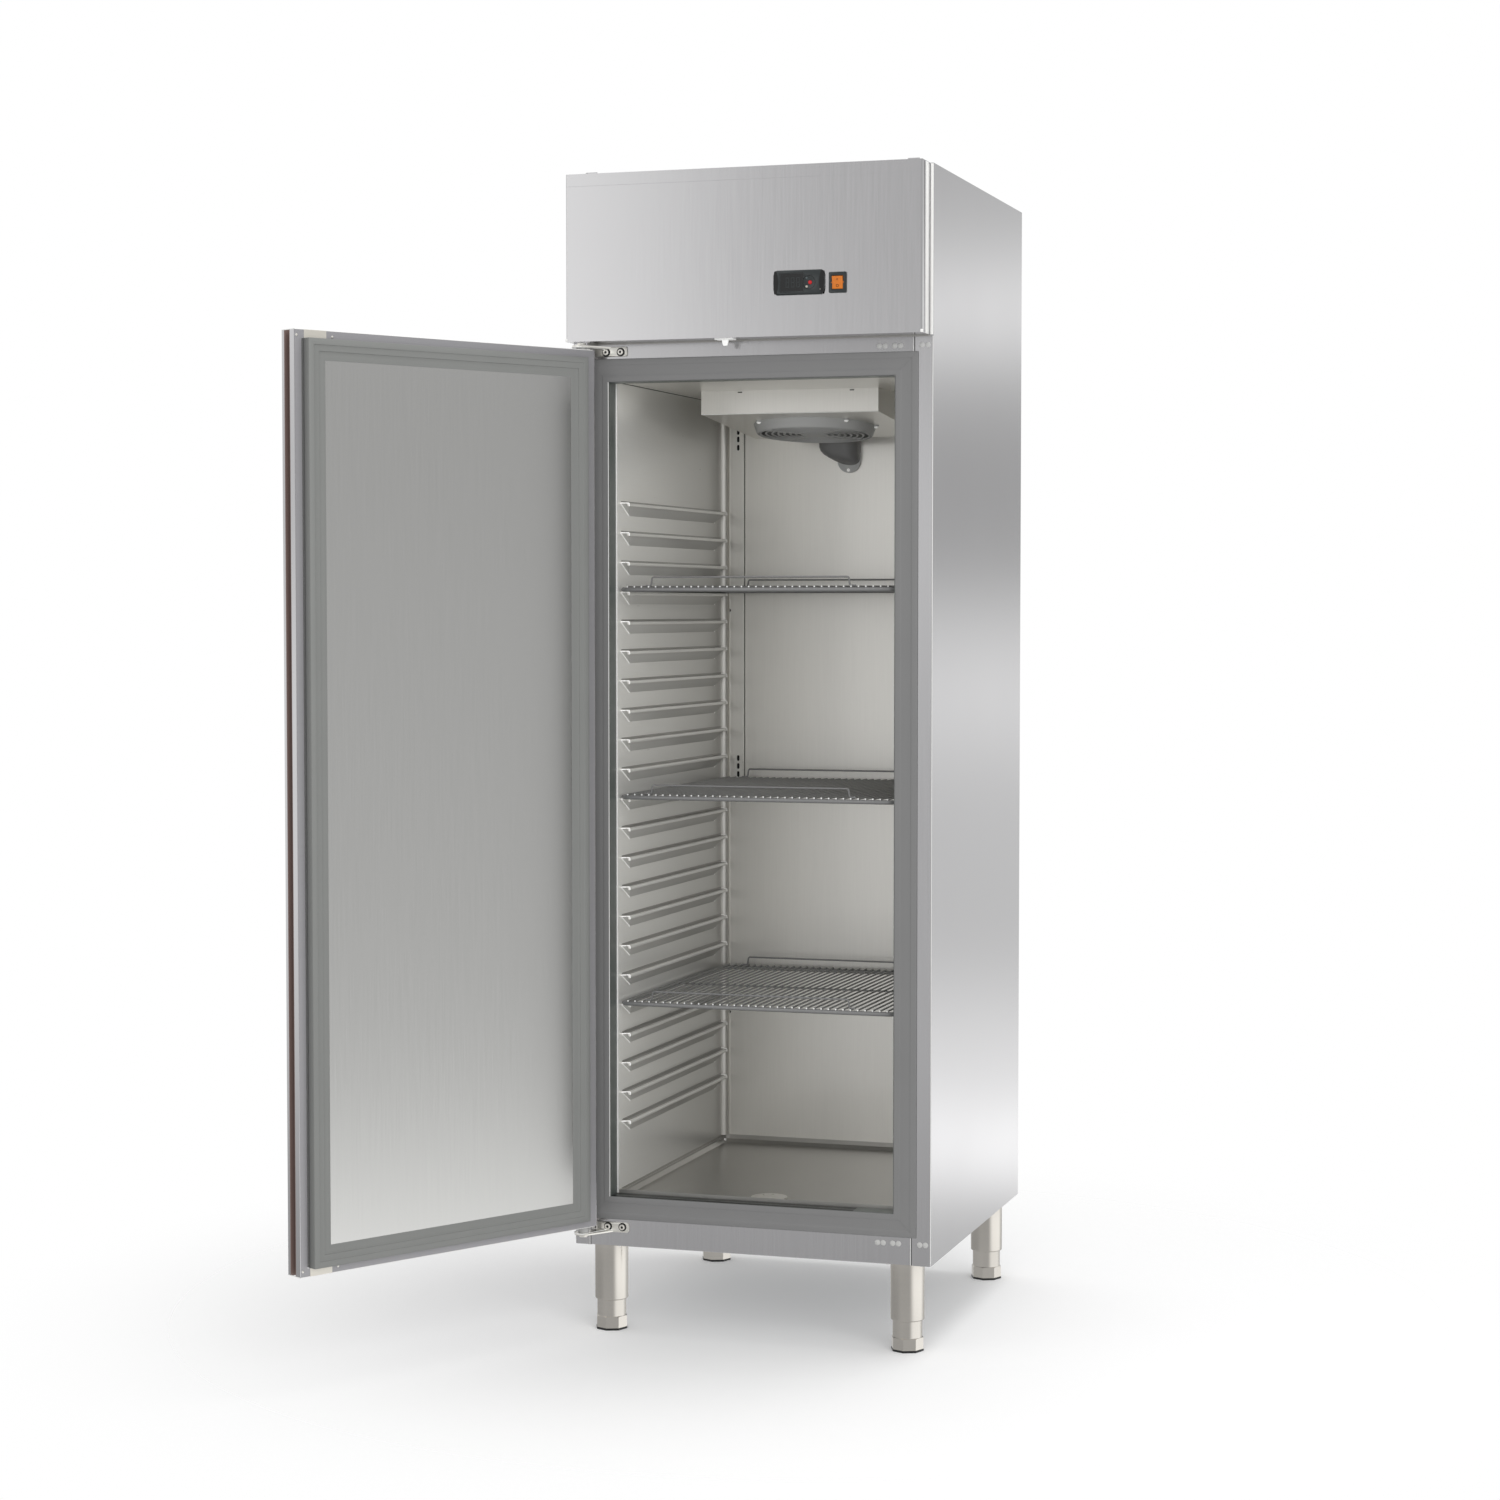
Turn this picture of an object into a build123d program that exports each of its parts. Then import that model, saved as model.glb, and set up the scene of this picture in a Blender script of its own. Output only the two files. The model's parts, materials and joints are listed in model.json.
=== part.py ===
from build123d import *
from math import atan2, cos, degrees, radians, sin
import os

os.makedirs("parts", exist_ok=True)

# Upright refrigerator with its door open, in millimetres
# x runs to the right, y to the rear, z up; the origin is on the floor, midway between the four feet

# Cabinet
cabinet_width = 600.0
cabinet_depth = 635.0
body_height = 1735.0
leg_height = 145.0
machine_height = 266.5
outer_sheet = 1.0
bend_radius = 2.0
fit_clearance = 0.3
shaft_clearance = 0.08
column_width = 28.3
rear_flange_width = 20.0
top_flange_width = 14.0
rail_fold = 10.0
rail_upstand = 12.0
frame_overlap = 5.0

# Plastic frame round the door opening
frame_side_margin = 23.5
frame_top_margin = 24.7
frame_bottom_margin = 44.2
frame_width = 37.5
frame_thickness = 3.0
frame_return = 34.0
frame_edge_chamfer = 1.2

# Stainless liner of the storage compartment
liner_sheet = 1.0
liner_side_step = 1.9
liner_top_gap = 2.5
liner_floor_drop = 8.4
rear_insulation = 45.3
cove_radius = 12.0
cove_lip = 0.8

# Pressed shelf runners on both side walls
runner_count = 22
runner_pitch = 48.4
lowest_runner_height = 123.8
runner_reach = 13.0
runner_drop = 20.0
runner_front_gap = 14.0
runner_rear_gap = 12.0
runner_tip_inset = 7.0
runner_toe_inset = 41.0

# Floor drain
drain_radius = 30.0
drain_thickness = 2.0
drain_pipe_radius = 10.0
drain_pipe_wall = 1.5
drain_pipe_drop = 18.0
drain_from_front = 105.0
drain_slot_count = 8

# Wire shelves
shelf_lower_runner_count = 5
shelf_middle_runner_count = 12
shelf_upper_runner_count = 19
shelf_seat = 0.3
shelf_rod_radius = 3.0
shelf_corner_radius = 14.0
shelf_cross_rod = 4.0
shelf_wire = 3.0
shelf_wire_pitch = 12.2
shelf_wire_count = 37
wire_overlap = 0.5
shelf_side_clearance = 3.0
shelf_front_reach = 4.0
shelf_rear_gap = 16.0
stop_wire_x = -14.0
stop_wire_length = 336.0
stop_wire_height = 17.0
stop_wire_foot = 14.0
stop_wire_setback = 12.0

# Feet
leg_tube_radius = 27.5
leg_inset_side = 48.0
leg_inset_front = 40.0
leg_inset_rear = 41.0
leg_tube_end_height = 50.0
leg_cap_thickness = 4.0
foot_tube_radius = 24.0
foot_tube_wall = 2.5
foot_nut_radius = 26.5
foot_nut_height = 20.0
foot_pad_height = 3.0
foot_pad_step = 1.2
foot_tube_engagement = 60.0

# Door, hinged on the left
door_open_angle = 120.0
door_width = 576.0
door_thickness = 32.0
door_side_gap = 12.0
door_top_gap = 12.6
door_bottom_gap = 36.8
door_stand_off = 16.5
door_sheet = 1.0
door_flange_hinge = 30.0
door_flange_free = 25.0
door_cap_thickness = 1.0
door_cap_fold = 18.0
hinge_edge_distance = 14.0
panel_rise = 8.0
panel_edge_inset = 14.0
grip_width = 15.0
grip_depth = 14.0
grip_wall = 1.5
grip_from_front = 6.0

# Magnetic gasket on the door
gasket_free_margin = 17.5
gasket_hinge_margin = 23.0
gasket_end_margin = 13.0
gasket_width = 33.0
gasket_gap = 0.3
gasket_band = 9.5
gasket_first_step = 1.2
gasket_second_step = 1.6
gasket_bevel = 8.0

# Hinges
pin_radius = 5.0
pin_clearance = 0.09
pin_head_radius = 7.0
pin_head_height = 4.0
pin_end_gap = 4.0
bush_collar_radius = 9.0
bush_radius = 8.0
bush_depth = 24.0
bush_end = 2.0
bracket_thickness = 3.0
bracket_height = 16.0
bracket_left = 37.0
bracket_right = 93.0
bracket_nose_radius = 15.0
bracket_arm_right = 66.0
bracket_corner_radius = 3.5
bracket_screw_inner = 57.5
bracket_screw_outer = 82.5
bracket_screw_shift = 1.2
top_bracket_drop = 5.2
bottom_bracket_bottom = 23.2
screw_head_radius = 5.7
screw_head_height = 4.0
screw_socket_width = 5.0
screw_socket_depth = 2.6
screw_shank_radius = 3.0
plug_radius = 4.6
plug_pitch = 8.8
plug_height = 0.8
plug_rise = 5.7
plug_drop = 5.1
plug_column_inset = 13.2

# Fascia in front of the machine compartment, hinged along its top edge
fascia_depth = 48.5
fascia_side_gap = 5.6
fascia_rear_gap = 0.4
fascia_sheet = 1.2
fascia_bend = 2.5
fascia_hinge_width = 18.0
fascia_hinge_inset = 32.0
fascia_hinge_pin_radius = 2.5
fascia_hinge_rise = 5.0
knuckle_radius = 4.0
ear_thickness = 3.0
ear_reach = 14.0
hinge_rail_height = 24.0
hinge_rail_depth = 26.0

# Controller with three keys
controller_x = 96.3
controller_rise = 82.5
controller_width = 83.6
controller_height = 38.7
controller_bulge = 5.0
controller_bezel = 4.0
controller_body_width = 70.5
controller_body_height = 28.5
controller_body_depth = 36.0
window_width = 36.8
window_height = 27.6
window_thickness = 1.2
window_offset = -11.2
key_power_x = 18.6
key_power_z = -0.7
key_small_x = 13.1
key_up_z = 6.4
key_down_z = -7.0
key_power_radius = 3.0
key_small_radius = 1.9
key_depth = 2.4
key_proud = 1.2
key_travel = 0.8
key_gap = 0.3

# Rocker switch
switch_x = 159.0
switch_rise = 80.8
switch_width = 28.4
switch_height = 32.6
switch_corner = 2.0
switch_bezel = 2.5
switch_window_width = 17.8
switch_window_height = 21.4
switch_body_width = 23.8
switch_body_height = 27.4
switch_body_depth = 24.0
switch_back = 2.0
rocker_gap = 0.4
rocker_pivot_depth = 2.0
rocker_centre_rise = 2.6
rocker_back = 6.0
rocker_tilt = 8.0
rocker_pin_radius = 2.0
rocker_pin_reach = 10.4

# Door sensor under the fascia
sensor_x = -31.5
sensor_from_front = -30.0
sensor_plate_width = 30.0
sensor_plate_depth = 20.0
sensor_plate_height = 2.0
sensor_tongue_width = 9.0
sensor_tongue_depth = 12.0
sensor_tongue_drop = 9.0

# Evaporator unit under the ceiling
evaporator_left = 125.3
evaporator_width = 310.8
evaporator_from_front = 278.0
evaporator_front_drop = 38.9
evaporator_rear_drop = 64.1
evaporator_sheet = 1.0
housing_hole_radius = 94.0
guard_from_rear = 155.0
guard_radius = 106.0
guard_rim_radius = 100.0
guard_height = 17.0
guard_wall = 2.0
guard_grille = 2.5
guard_hub_radius = 24.0
guard_ring_count = 5
guard_ring_pitch = 12.5
guard_ring_width = 5.0
guard_ring_sides = 24
guard_spoke_width = 9.0
fan_motor_radius = 21.0
fan_motor_height = 16.0
fan_shaft_radius = 3.0
hidden_sides = 20
fan_shaft_end = 4.0
fan_hub_gap = 1.0
fan_hub_radius = 22.0
fan_hub_height = 16.0
fan_bore_end = 2.0
fan_blade_count = 5
fan_blade_thickness = 1.6
fan_root_chord = 26.0
evaporator_fan_radius = 84.0
evaporator_blade_chord = 46.0
evaporator_blade_pitch = 24.0
coil_fin_count = 24
coil_fin = 1.2
coil_depth = 52.0
coil_height = 40.0
coil_back = 6.0
coil_side_gap = 12.0
coil_rear_gap = 6.0

# Moulded cover over the drain pipe, and the slotted channel on the rear wall
elbow_left = 245.7
elbow_width = 75.7
elbow_shoulder = 24.0
elbow_depth = 40.0
elbow_bevel = 5.0
elbow_lobe_radius = 21.0
elbow_lobe_x = 299.5
elbow_lobe_drop = 105.8
channel_left = 84.0
channel_width = 19.8
channel_depth = 8.0
channel_sheet = 1.0
channel_top_gap = 20.0
channel_length = 655.0
channel_slot_width = 5.5
channel_slot_length = 9.5
channel_slot_pitch = 14.4
channel_slots = 3
channel_slot_end = 9.4

# Refrigerating machine on the deck
tray_side_gap = 30.0
tray_rear_gap = 55.0
tray_height = 22.0
tray_sheet = 1.5
tray_from_front = 40.0
condenser_width = 240.0
condenser_height = 200.0
condenser_depth = 48.0
condenser_x = -120.0
condenser_from_front = 62.0
condenser_fin_count = 30
condenser_fin = 1.2
condenser_end_plate = 2.0
condenser_back = 8.0
shroud_depth = 36.0
shroud_sheet = 2.0
condenser_fan_radius = 86.0
condenser_fan_gap = 5.0
condenser_blade_chord = 50.0
condenser_blade_pitch = 26.0
condenser_motor_radius = 28.0
condenser_motor_length = 46.0
motor_bar_width = 12.0
motor_bar_thickness = 3.0
motor_standoff = 16.0
motor_bar_setback = 6.0
compressor_x = 150.0
compressor_from_rear = 200.0
compressor_radius = 82.0
compressor_height = 150.0
compressor_dome = 22.0
compressor_seam = 5.0
compressor_foot_radius = 11.0
compressor_foot_height = 14.0
compressor_plate = 3.0
compressor_plate_width = 196.0
compressor_plate_depth = 130.0
line_radius = 4.0
line_reach = 30.0
line_rise_share = 0.35
drier_radius = 12.0
drier_length = 90.0
electric_box_width = 120.0
electric_box_depth = 90.0
electric_box_height = 80.0
electric_box_left = 110.0
electric_box_from_rear = 60.0
inlet_width = 48.0
inlet_height = 22.0
inlet_wall = 3.0
inlet_depth = 12.0
vent_height = 190.0
vent_slot_width = 150.0
vent_slot_height = 6.0
vent_rows = 9
vent_row_pitch = 16.0

# Positions that follow from the sizes above
x_left = -cabinet_width / 2
x_right = cabinet_width / 2
y_front = -cabinet_depth / 2
y_rear = cabinet_depth / 2
z_base = leg_height
z_top = z_base + body_height
z_deck = z_top - machine_height

frame_left = x_left + frame_side_margin
frame_right = x_right - frame_side_margin
frame_bottom = z_base + frame_bottom_margin
frame_top = z_deck - frame_top_margin
opening_left = frame_left + frame_width
opening_right = frame_right - frame_width
opening_bottom = frame_bottom + frame_width
opening_top = frame_top - frame_width

liner_left_x = opening_left + liner_side_step
liner_right_x = opening_right - liner_side_step
liner_front_y = y_front + frame_return
liner_rear_y = y_rear - outer_sheet - rear_insulation
liner_floor_z = opening_bottom - liner_floor_drop
liner_ceiling_z = opening_top + liner_top_gap

runner_tops = [liner_floor_z + lowest_runner_height + i * runner_pitch for i in range(runner_count)]
runner_front_y = liner_front_y + runner_front_gap
runner_rear_y = liner_rear_y - runner_rear_gap

drain_y = y_front + drain_from_front

door_front_y = y_front - door_stand_off - door_thickness
door_back_y = y_front - door_stand_off
hinge_x = x_left + door_side_gap + hinge_edge_distance
hinge_y = y_front - door_stand_off - door_thickness / 2
door_bottom = z_base + door_bottom_gap
door_top = z_deck - door_top_gap
door_height = door_top - door_bottom


def level(height):
    """Flat plane at a height above the floor."""
    return Plane.XY.offset(height)


def upright(depth):
    """Upright plane across the cabinet at a depth, facing the front."""
    return Plane.XZ.offset(-depth)


def sideways(position):
    """Upright plane from front to rear at a place across the cabinet, facing right."""
    return Plane.YZ.offset(position)


# The door is drawn on its own planes, which turn about the hinge pins:
# across runs from the hinge edge to the free edge, and depth from its front to the cabinet side
door_x_dir = Vector(cos(radians(door_open_angle)), -sin(radians(door_open_angle)), 0)
door_depth_dir = Vector(sin(radians(door_open_angle)), cos(radians(door_open_angle)), 0)
hinge_axis = Vector(hinge_x, hinge_y, 0)
door_corner = hinge_axis - door_x_dir * hinge_edge_distance - door_depth_dir * (door_thickness / 2)


def door_level(height):
    """Flat plane at a height, from the door's front hinge corner."""
    return Plane(origin=door_corner + Vector(0, 0, height), x_dir=door_x_dir, z_dir=(0, 0, 1))


def door_upright(depth):
    """Upright plane along the door at a depth behind its front, facing its front."""
    return Plane(origin=door_corner + door_depth_dir * depth, x_dir=door_x_dir, z_dir=-door_depth_dir)


# Side panels: one folded sheet each, with the front column, the rear flange and the top flange
with BuildPart() as side_panel_left:
    with BuildSketch(level(z_base)):
        with BuildLine():
            FilletPolyline(
                (x_left + rear_flange_width, y_rear),
                (x_left, y_rear),
                (x_left, y_front),
                (x_left + column_width, y_front),
                radius=bend_radius,
            )
            offset(amount=outer_sheet, side=Side.LEFT)
        make_face()
    extrude(amount=body_height)
    with BuildSketch(level(z_top)):
        with Locations((x_left + outer_sheet, 0)):
            Rectangle(
                top_flange_width, cabinet_depth - 2 * outer_sheet, align=(Align.MIN, Align.CENTER)
            )
    extrude(amount=-outer_sheet)
side_panel_left.part.label = "side_panel_left"
export_step(side_panel_left.part, "parts/side_panel_left.step")

with BuildPart() as side_panel_right:
    mirror(side_panel_left.part, about=Plane.YZ)
side_panel_right.part.label = "side_panel_right"
export_step(side_panel_right.part, "parts/side_panel_right.step")

# Rear panel of the insulated body, inside the side panels' rear flanges
inner_width = cabinet_width - 2 * outer_sheet
rear_panel_width = cabinet_width - 2 * bend_radius
rear_panel_y = y_rear - outer_sheet
with BuildPart() as rear_panel:
    with BuildSketch(upright(rear_panel_y)):
        with Locations((0, z_base)):
            Rectangle(rear_panel_width, z_deck - z_base, align=(Align.CENTER, Align.MIN))
    extrude(amount=outer_sheet)
rear_panel.part.label = "rear_panel"
export_step(rear_panel.part, "parts/rear_panel.step")

# Louvred panel behind the machine compartment
with BuildPart() as rear_vent_panel:
    with BuildSketch(upright(rear_panel_y)):
        with Locations((0, z_deck)):
            Rectangle(rear_panel_width, vent_height, align=(Align.CENTER, Align.MIN))
        with Locations((0, z_deck + vent_height / 2)):
            with GridLocations(vent_slot_width + vent_row_pitch, vent_row_pitch, 3, vent_rows):
                Rectangle(vent_slot_width, vent_slot_height, mode=Mode.SUBTRACT)
    extrude(amount=outer_sheet)
rear_vent_panel.part.label = "rear_vent_panel"
export_step(rear_vent_panel.part, "parts/rear_vent_panel.step")

# Base panel, with the hole for the drain pipe
base_top = z_base + outer_sheet
with BuildPart() as base_panel:
    with BuildSketch(level(z_base)):
        with Locations((0, y_front + rail_fold)):
            Rectangle(
                inner_width,
                cabinet_depth - rail_fold - 2 * outer_sheet,
                align=(Align.CENTER, Align.MIN),
            )
        with Locations((0, drain_y)):
            Circle(drain_pipe_radius + fit_clearance, mode=Mode.SUBTRACT)
    extrude(amount=outer_sheet)
base_panel.part.label = "base_panel"
export_step(base_panel.part, "parts/base_panel.step")

# Deck that closes the insulated body and carries the machine
plate_depth = cabinet_depth - bend_radius - 2 * outer_sheet
with BuildPart() as machine_deck:
    with BuildSketch(level(z_deck)):
        with Locations((0, y_front + bend_radius)):
            Rectangle(inner_width, plate_depth, align=(Align.CENTER, Align.MIN))
    extrude(amount=-outer_sheet)
machine_deck.part.label = "machine_deck"
export_step(machine_deck.part, "parts/machine_deck.step")

# Front rails above and below the opening, folded sheet between the columns
rail_width = cabinet_width - 2 * column_width
top_plate_z = z_deck - top_bracket_drop - bracket_height
top_screw_z = top_plate_z + bracket_height / 2 - bracket_screw_shift
bottom_arm_z = z_base + bottom_bracket_bottom
bottom_screw_z = bottom_arm_z + bracket_height / 2 + bracket_screw_shift
with BuildPart() as top_rail:
    with BuildSketch(sideways(-rail_width / 2)):
        with BuildLine():
            Polyline(
                (y_front + rail_fold, z_deck + rail_upstand),
                (y_front, z_deck + rail_upstand),
                (y_front, frame_top - frame_overlap),
            )
            offset(amount=outer_sheet, side=Side.LEFT)
        make_face()
    extrude(amount=rail_width)
    with BuildSketch(upright(y_front)):
        with Locations(
            (x_left + bracket_screw_inner, top_screw_z),
            (x_left + bracket_screw_outer, top_screw_z),
        ):
            RegularPolygon(screw_shank_radius, 8)
    extrude(amount=-outer_sheet, mode=Mode.SUBTRACT)
top_rail.part.label = "top_rail"
export_step(top_rail.part, "parts/top_rail.step")

with BuildPart() as bottom_rail:
    with BuildSketch(sideways(-rail_width / 2)):
        with BuildLine():
            FilletPolyline(
                (y_front, frame_bottom + frame_overlap),
                (y_front, z_base),
                (y_front + rail_fold, z_base),
                radius=bend_radius,
            )
            offset(amount=outer_sheet, side=Side.LEFT)
        make_face()
    extrude(amount=rail_width)
    with BuildSketch(upright(y_front)):
        with Locations(
            (x_left + bracket_screw_inner, bottom_screw_z),
            (x_left + bracket_screw_outer, bottom_screw_z),
        ):
            RegularPolygon(screw_shank_radius, 8)
    extrude(amount=-outer_sheet, mode=Mode.SUBTRACT)
bottom_rail.part.label = "bottom_rail"
export_step(bottom_rail.part, "parts/bottom_rail.step")

# Foam body: a block with the stepped cavity that the frame and the liner line
frame_outside_left = opening_left - frame_thickness
frame_outside_right = opening_right + frame_thickness
frame_outside_bottom = opening_bottom - frame_thickness
frame_outside_top = opening_top + frame_thickness
with BuildPart() as insulation:
    with BuildSketch(level(base_top)):
        with Locations((0, y_front + outer_sheet)):
            Rectangle(
                inner_width, cabinet_depth - 3 * outer_sheet, align=(Align.CENTER, Align.MIN)
            )
    extrude(amount=z_deck - outer_sheet - base_top)
    front_corners = insulation.edges().filter_by(Axis.Z).group_by(Axis.Y)[0]
    bottom_corner = insulation.edges().filter_by(Axis.X).group_by(Axis.Z)[0].sort_by(Axis.Y)[0]
    chamfer(front_corners + [bottom_corner], length=bend_radius - outer_sheet)
    with BuildSketch(upright(y_front)):
        with Locations((frame_outside_left, frame_outside_bottom)):
            Rectangle(
                frame_outside_right - frame_outside_left,
                frame_outside_top - frame_outside_bottom,
                align=(Align.MIN, Align.MIN),
            )
    extrude(amount=-frame_return, mode=Mode.SUBTRACT)
    with BuildSketch(upright(liner_front_y)):
        with Locations((liner_left_x - liner_sheet, liner_floor_z - liner_sheet)):
            Rectangle(
                liner_right_x - liner_left_x + 2 * liner_sheet,
                liner_ceiling_z - liner_floor_z + 2 * liner_sheet,
                align=(Align.MIN, Align.MIN),
            )
    extrude(amount=-(liner_rear_y - liner_front_y + liner_sheet), mode=Mode.SUBTRACT)
    with BuildSketch(level(base_top)):
        with Locations((0, drain_y)):
            Circle(drain_pipe_radius + fit_clearance)
    extrude(amount=liner_floor_z - base_top, mode=Mode.SUBTRACT)
insulation.part.label = "insulation"
export_step(insulation.part, "parts/insulation.step")

# Mitred frame of extruded plastic: a hollow-faced front flange and a return into the opening
frame_hollow = 0.9
with BuildPart() as breaker_frame:
    with BuildSketch(upright(y_front)):
        with Locations((0, (frame_top + frame_bottom) / 2)):
            Rectangle(frame_right - frame_left, frame_top - frame_bottom)
            Rectangle(opening_right - opening_left, opening_top - opening_bottom, mode=Mode.SUBTRACT)
    extrude(amount=frame_thickness)
    front_edges = breaker_frame.edges().group_by(Axis.Y)[0]
    chamfer(front_edges, length=frame_edge_chamfer)
    with BuildSketch(upright(y_front - frame_thickness)):
        with Locations((0, (frame_top + frame_bottom) / 2)):
            Rectangle(
                frame_right - frame_left - frame_width / 2,
                frame_top - frame_bottom - frame_width / 2,
            )
            Rectangle(
                opening_right - opening_left + frame_width / 2,
                opening_top - opening_bottom + frame_width / 2,
                mode=Mode.SUBTRACT,
            )
    extrude(amount=-frame_hollow, taper=60, mode=Mode.SUBTRACT)
    with BuildSketch(upright(y_front)):
        with Locations((0, (opening_top + opening_bottom) / 2)):
            Rectangle(
                frame_outside_right - frame_outside_left, frame_outside_top - frame_outside_bottom
            )
            Rectangle(opening_right - opening_left, opening_top - opening_bottom, mode=Mode.SUBTRACT)
    extrude(amount=-frame_return)
breaker_frame.part.label = "breaker_frame"
export_step(breaker_frame.part, "parts/breaker_frame.step")

# Liner walls, each with its pressed runners: a ledge on top, a slope back to the wall, bevelled ends
liner_wall_depth = liner_rear_y - liner_front_y
liner_wall_height = liner_ceiling_z - liner_floor_z
with BuildPart() as runner:
    with BuildSketch(upright(runner_rear_y)):
        with BuildLine():
            Polyline(
                (liner_left_x, 0),
                (liner_left_x + runner_reach, 0),
                (liner_left_x, -runner_drop),
                close=True,
            )
        make_face()
    extrude(amount=runner_rear_y - runner_front_y)
    front_bevel = Plane(
        Face(
            Wire.make_polygon(
                [
                    (liner_left_x, runner_front_y, 0),
                    (liner_left_x + runner_reach, runner_front_y + runner_tip_inset, 0),
                    (liner_left_x, runner_front_y + runner_toe_inset, -runner_drop),
                ]
            )
        )
    )
    rear_bevel = Plane(
        Face(
            Wire.make_polygon(
                [
                    (liner_left_x, runner_rear_y, 0),
                    (liner_left_x, runner_rear_y - runner_toe_inset, -runner_drop),
                    (liner_left_x + runner_reach, runner_rear_y - runner_tip_inset, 0),
                ]
            )
        )
    )
    keep_front = Keep.TOP if front_bevel.z_dir.Y > 0 else Keep.BOTTOM
    keep_rear = Keep.TOP if rear_bevel.z_dir.Y < 0 else Keep.BOTTOM
    split(bisect_by=front_bevel, keep=keep_front)
    split(bisect_by=rear_bevel, keep=keep_rear)

with BuildPart() as liner_left:
    with BuildSketch(sideways(liner_left_x - liner_sheet)):
        with Locations((liner_front_y, liner_floor_z)):
            Rectangle(liner_wall_depth, liner_wall_height, align=(Align.MIN, Align.MIN))
    extrude(amount=liner_sheet)
    with Locations(*[(0, 0, height) for height in runner_tops]):
        add(runner.part)
liner_left.part.label = "liner_left"
export_step(liner_left.part, "parts/liner_left.step")

with BuildPart() as liner_right:
    mirror(liner_left.part, about=Plane.YZ)
liner_right.part.label = "liner_right"
export_step(liner_right.part, "parts/liner_right.step")

# Rear wall of the liner, with a cove down both corners
tray_rim_z = liner_floor_z + cove_radius + 2 * cove_lip
with BuildPart() as liner_rear:
    with BuildSketch(upright(liner_rear_y)):
        with Locations((liner_left_x - liner_sheet, liner_floor_z)):
            Rectangle(
                liner_right_x - liner_left_x + 2 * liner_sheet,
                liner_wall_height,
                align=(Align.MIN, Align.MIN),
            )
    extrude(amount=-liner_sheet)
    with BuildSketch(level(tray_rim_z)):
        with BuildLine():
            l1 = Line((liner_left_x, liner_rear_y), (liner_left_x, liner_rear_y - cove_radius))
            l2 = Line(l1 @ 1, l1 @ 1 + (cove_lip, 0))
            c1 = RadiusArc(
                l2 @ 1, (liner_left_x + cove_radius + cove_lip, liner_rear_y), -cove_radius
            )
            Line(c1 @ 1, l1 @ 0)
        make_face()
        mirror(about=Plane.YZ)
    extrude(amount=liner_ceiling_z - tray_rim_z)
liner_rear.part.label = "liner_rear"
export_step(liner_rear.part, "parts/liner_rear.step")

with BuildPart() as liner_ceiling:
    with BuildSketch(level(liner_ceiling_z)):
        with Locations((0, liner_front_y)):
            Rectangle(
                liner_right_x - liner_left_x + 2 * liner_sheet,
                liner_wall_depth + liner_sheet,
                align=(Align.CENTER, Align.MIN),
            )
    extrude(amount=liner_sheet)
liner_ceiling.part.label = "liner_ceiling"
export_step(liner_ceiling.part, "parts/liner_ceiling.step")

# Floor tray with rounded corners and coved edges, open to the drain
with BuildPart() as liner_floor:
    with BuildSketch(level(liner_floor_z - liner_sheet)):
        with Locations((0, liner_front_y)):
            Rectangle(
                liner_right_x - liner_left_x + 2 * liner_sheet,
                liner_wall_depth + liner_sheet,
                align=(Align.CENTER, Align.MIN),
            )
    extrude(amount=liner_sheet)
    with BuildSketch(level(liner_floor_z)):
        with Locations((0, (liner_front_y + liner_rear_y) / 2)):
            Rectangle(liner_right_x - liner_left_x, liner_wall_depth)
    extrude(amount=tray_rim_z - liner_floor_z)
    with BuildPart(mode=Mode.PRIVATE) as tray_hollow:
        with BuildSketch(level(liner_floor_z)):
            with Locations((0, (liner_front_y + liner_rear_y) / 2)):
                RectangleRounded(
                    liner_right_x - liner_left_x - 2 * cove_lip,
                    liner_wall_depth - 2 * cove_lip,
                    cove_radius,
                )
        extrude(amount=2 * cove_radius)
        chamfer(tray_hollow.edges().group_by(Axis.Z)[0], length=cove_radius / 2)
    add(tray_hollow.part, mode=Mode.SUBTRACT)
    with BuildSketch(level(liner_floor_z - liner_sheet)):
        with Locations((0, drain_y)):
            RegularPolygon(drain_pipe_radius + fit_clearance, 16)
    extrude(amount=liner_sheet, mode=Mode.SUBTRACT)
liner_floor.part.label = "liner_floor"
export_step(liner_floor.part, "parts/liner_floor.step")

# Drain strainer on the floor, with its pipe down through the base
with BuildPart() as floor_drain:
    with BuildSketch(level(liner_floor_z)):
        with Locations((0, drain_y)):
            RegularPolygon(drain_radius, 24)
            with PolarLocations((drain_radius + drain_pipe_radius) / 2, drain_slot_count):
                Rectangle(drain_pipe_radius, drain_thickness, mode=Mode.SUBTRACT)
    extrude(amount=drain_thickness)
    with BuildSketch(level(liner_floor_z)):
        with Locations((0, drain_y)):
            RegularPolygon(drain_pipe_radius, 16)
            RegularPolygon(drain_pipe_radius - drain_pipe_wall, 16, mode=Mode.SUBTRACT)
    extrude(amount=-(liner_floor_z - z_base + drain_pipe_drop))
floor_drain.part.label = "floor_drain"
export_step(floor_drain.part, "parts/floor_drain.step")

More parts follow.
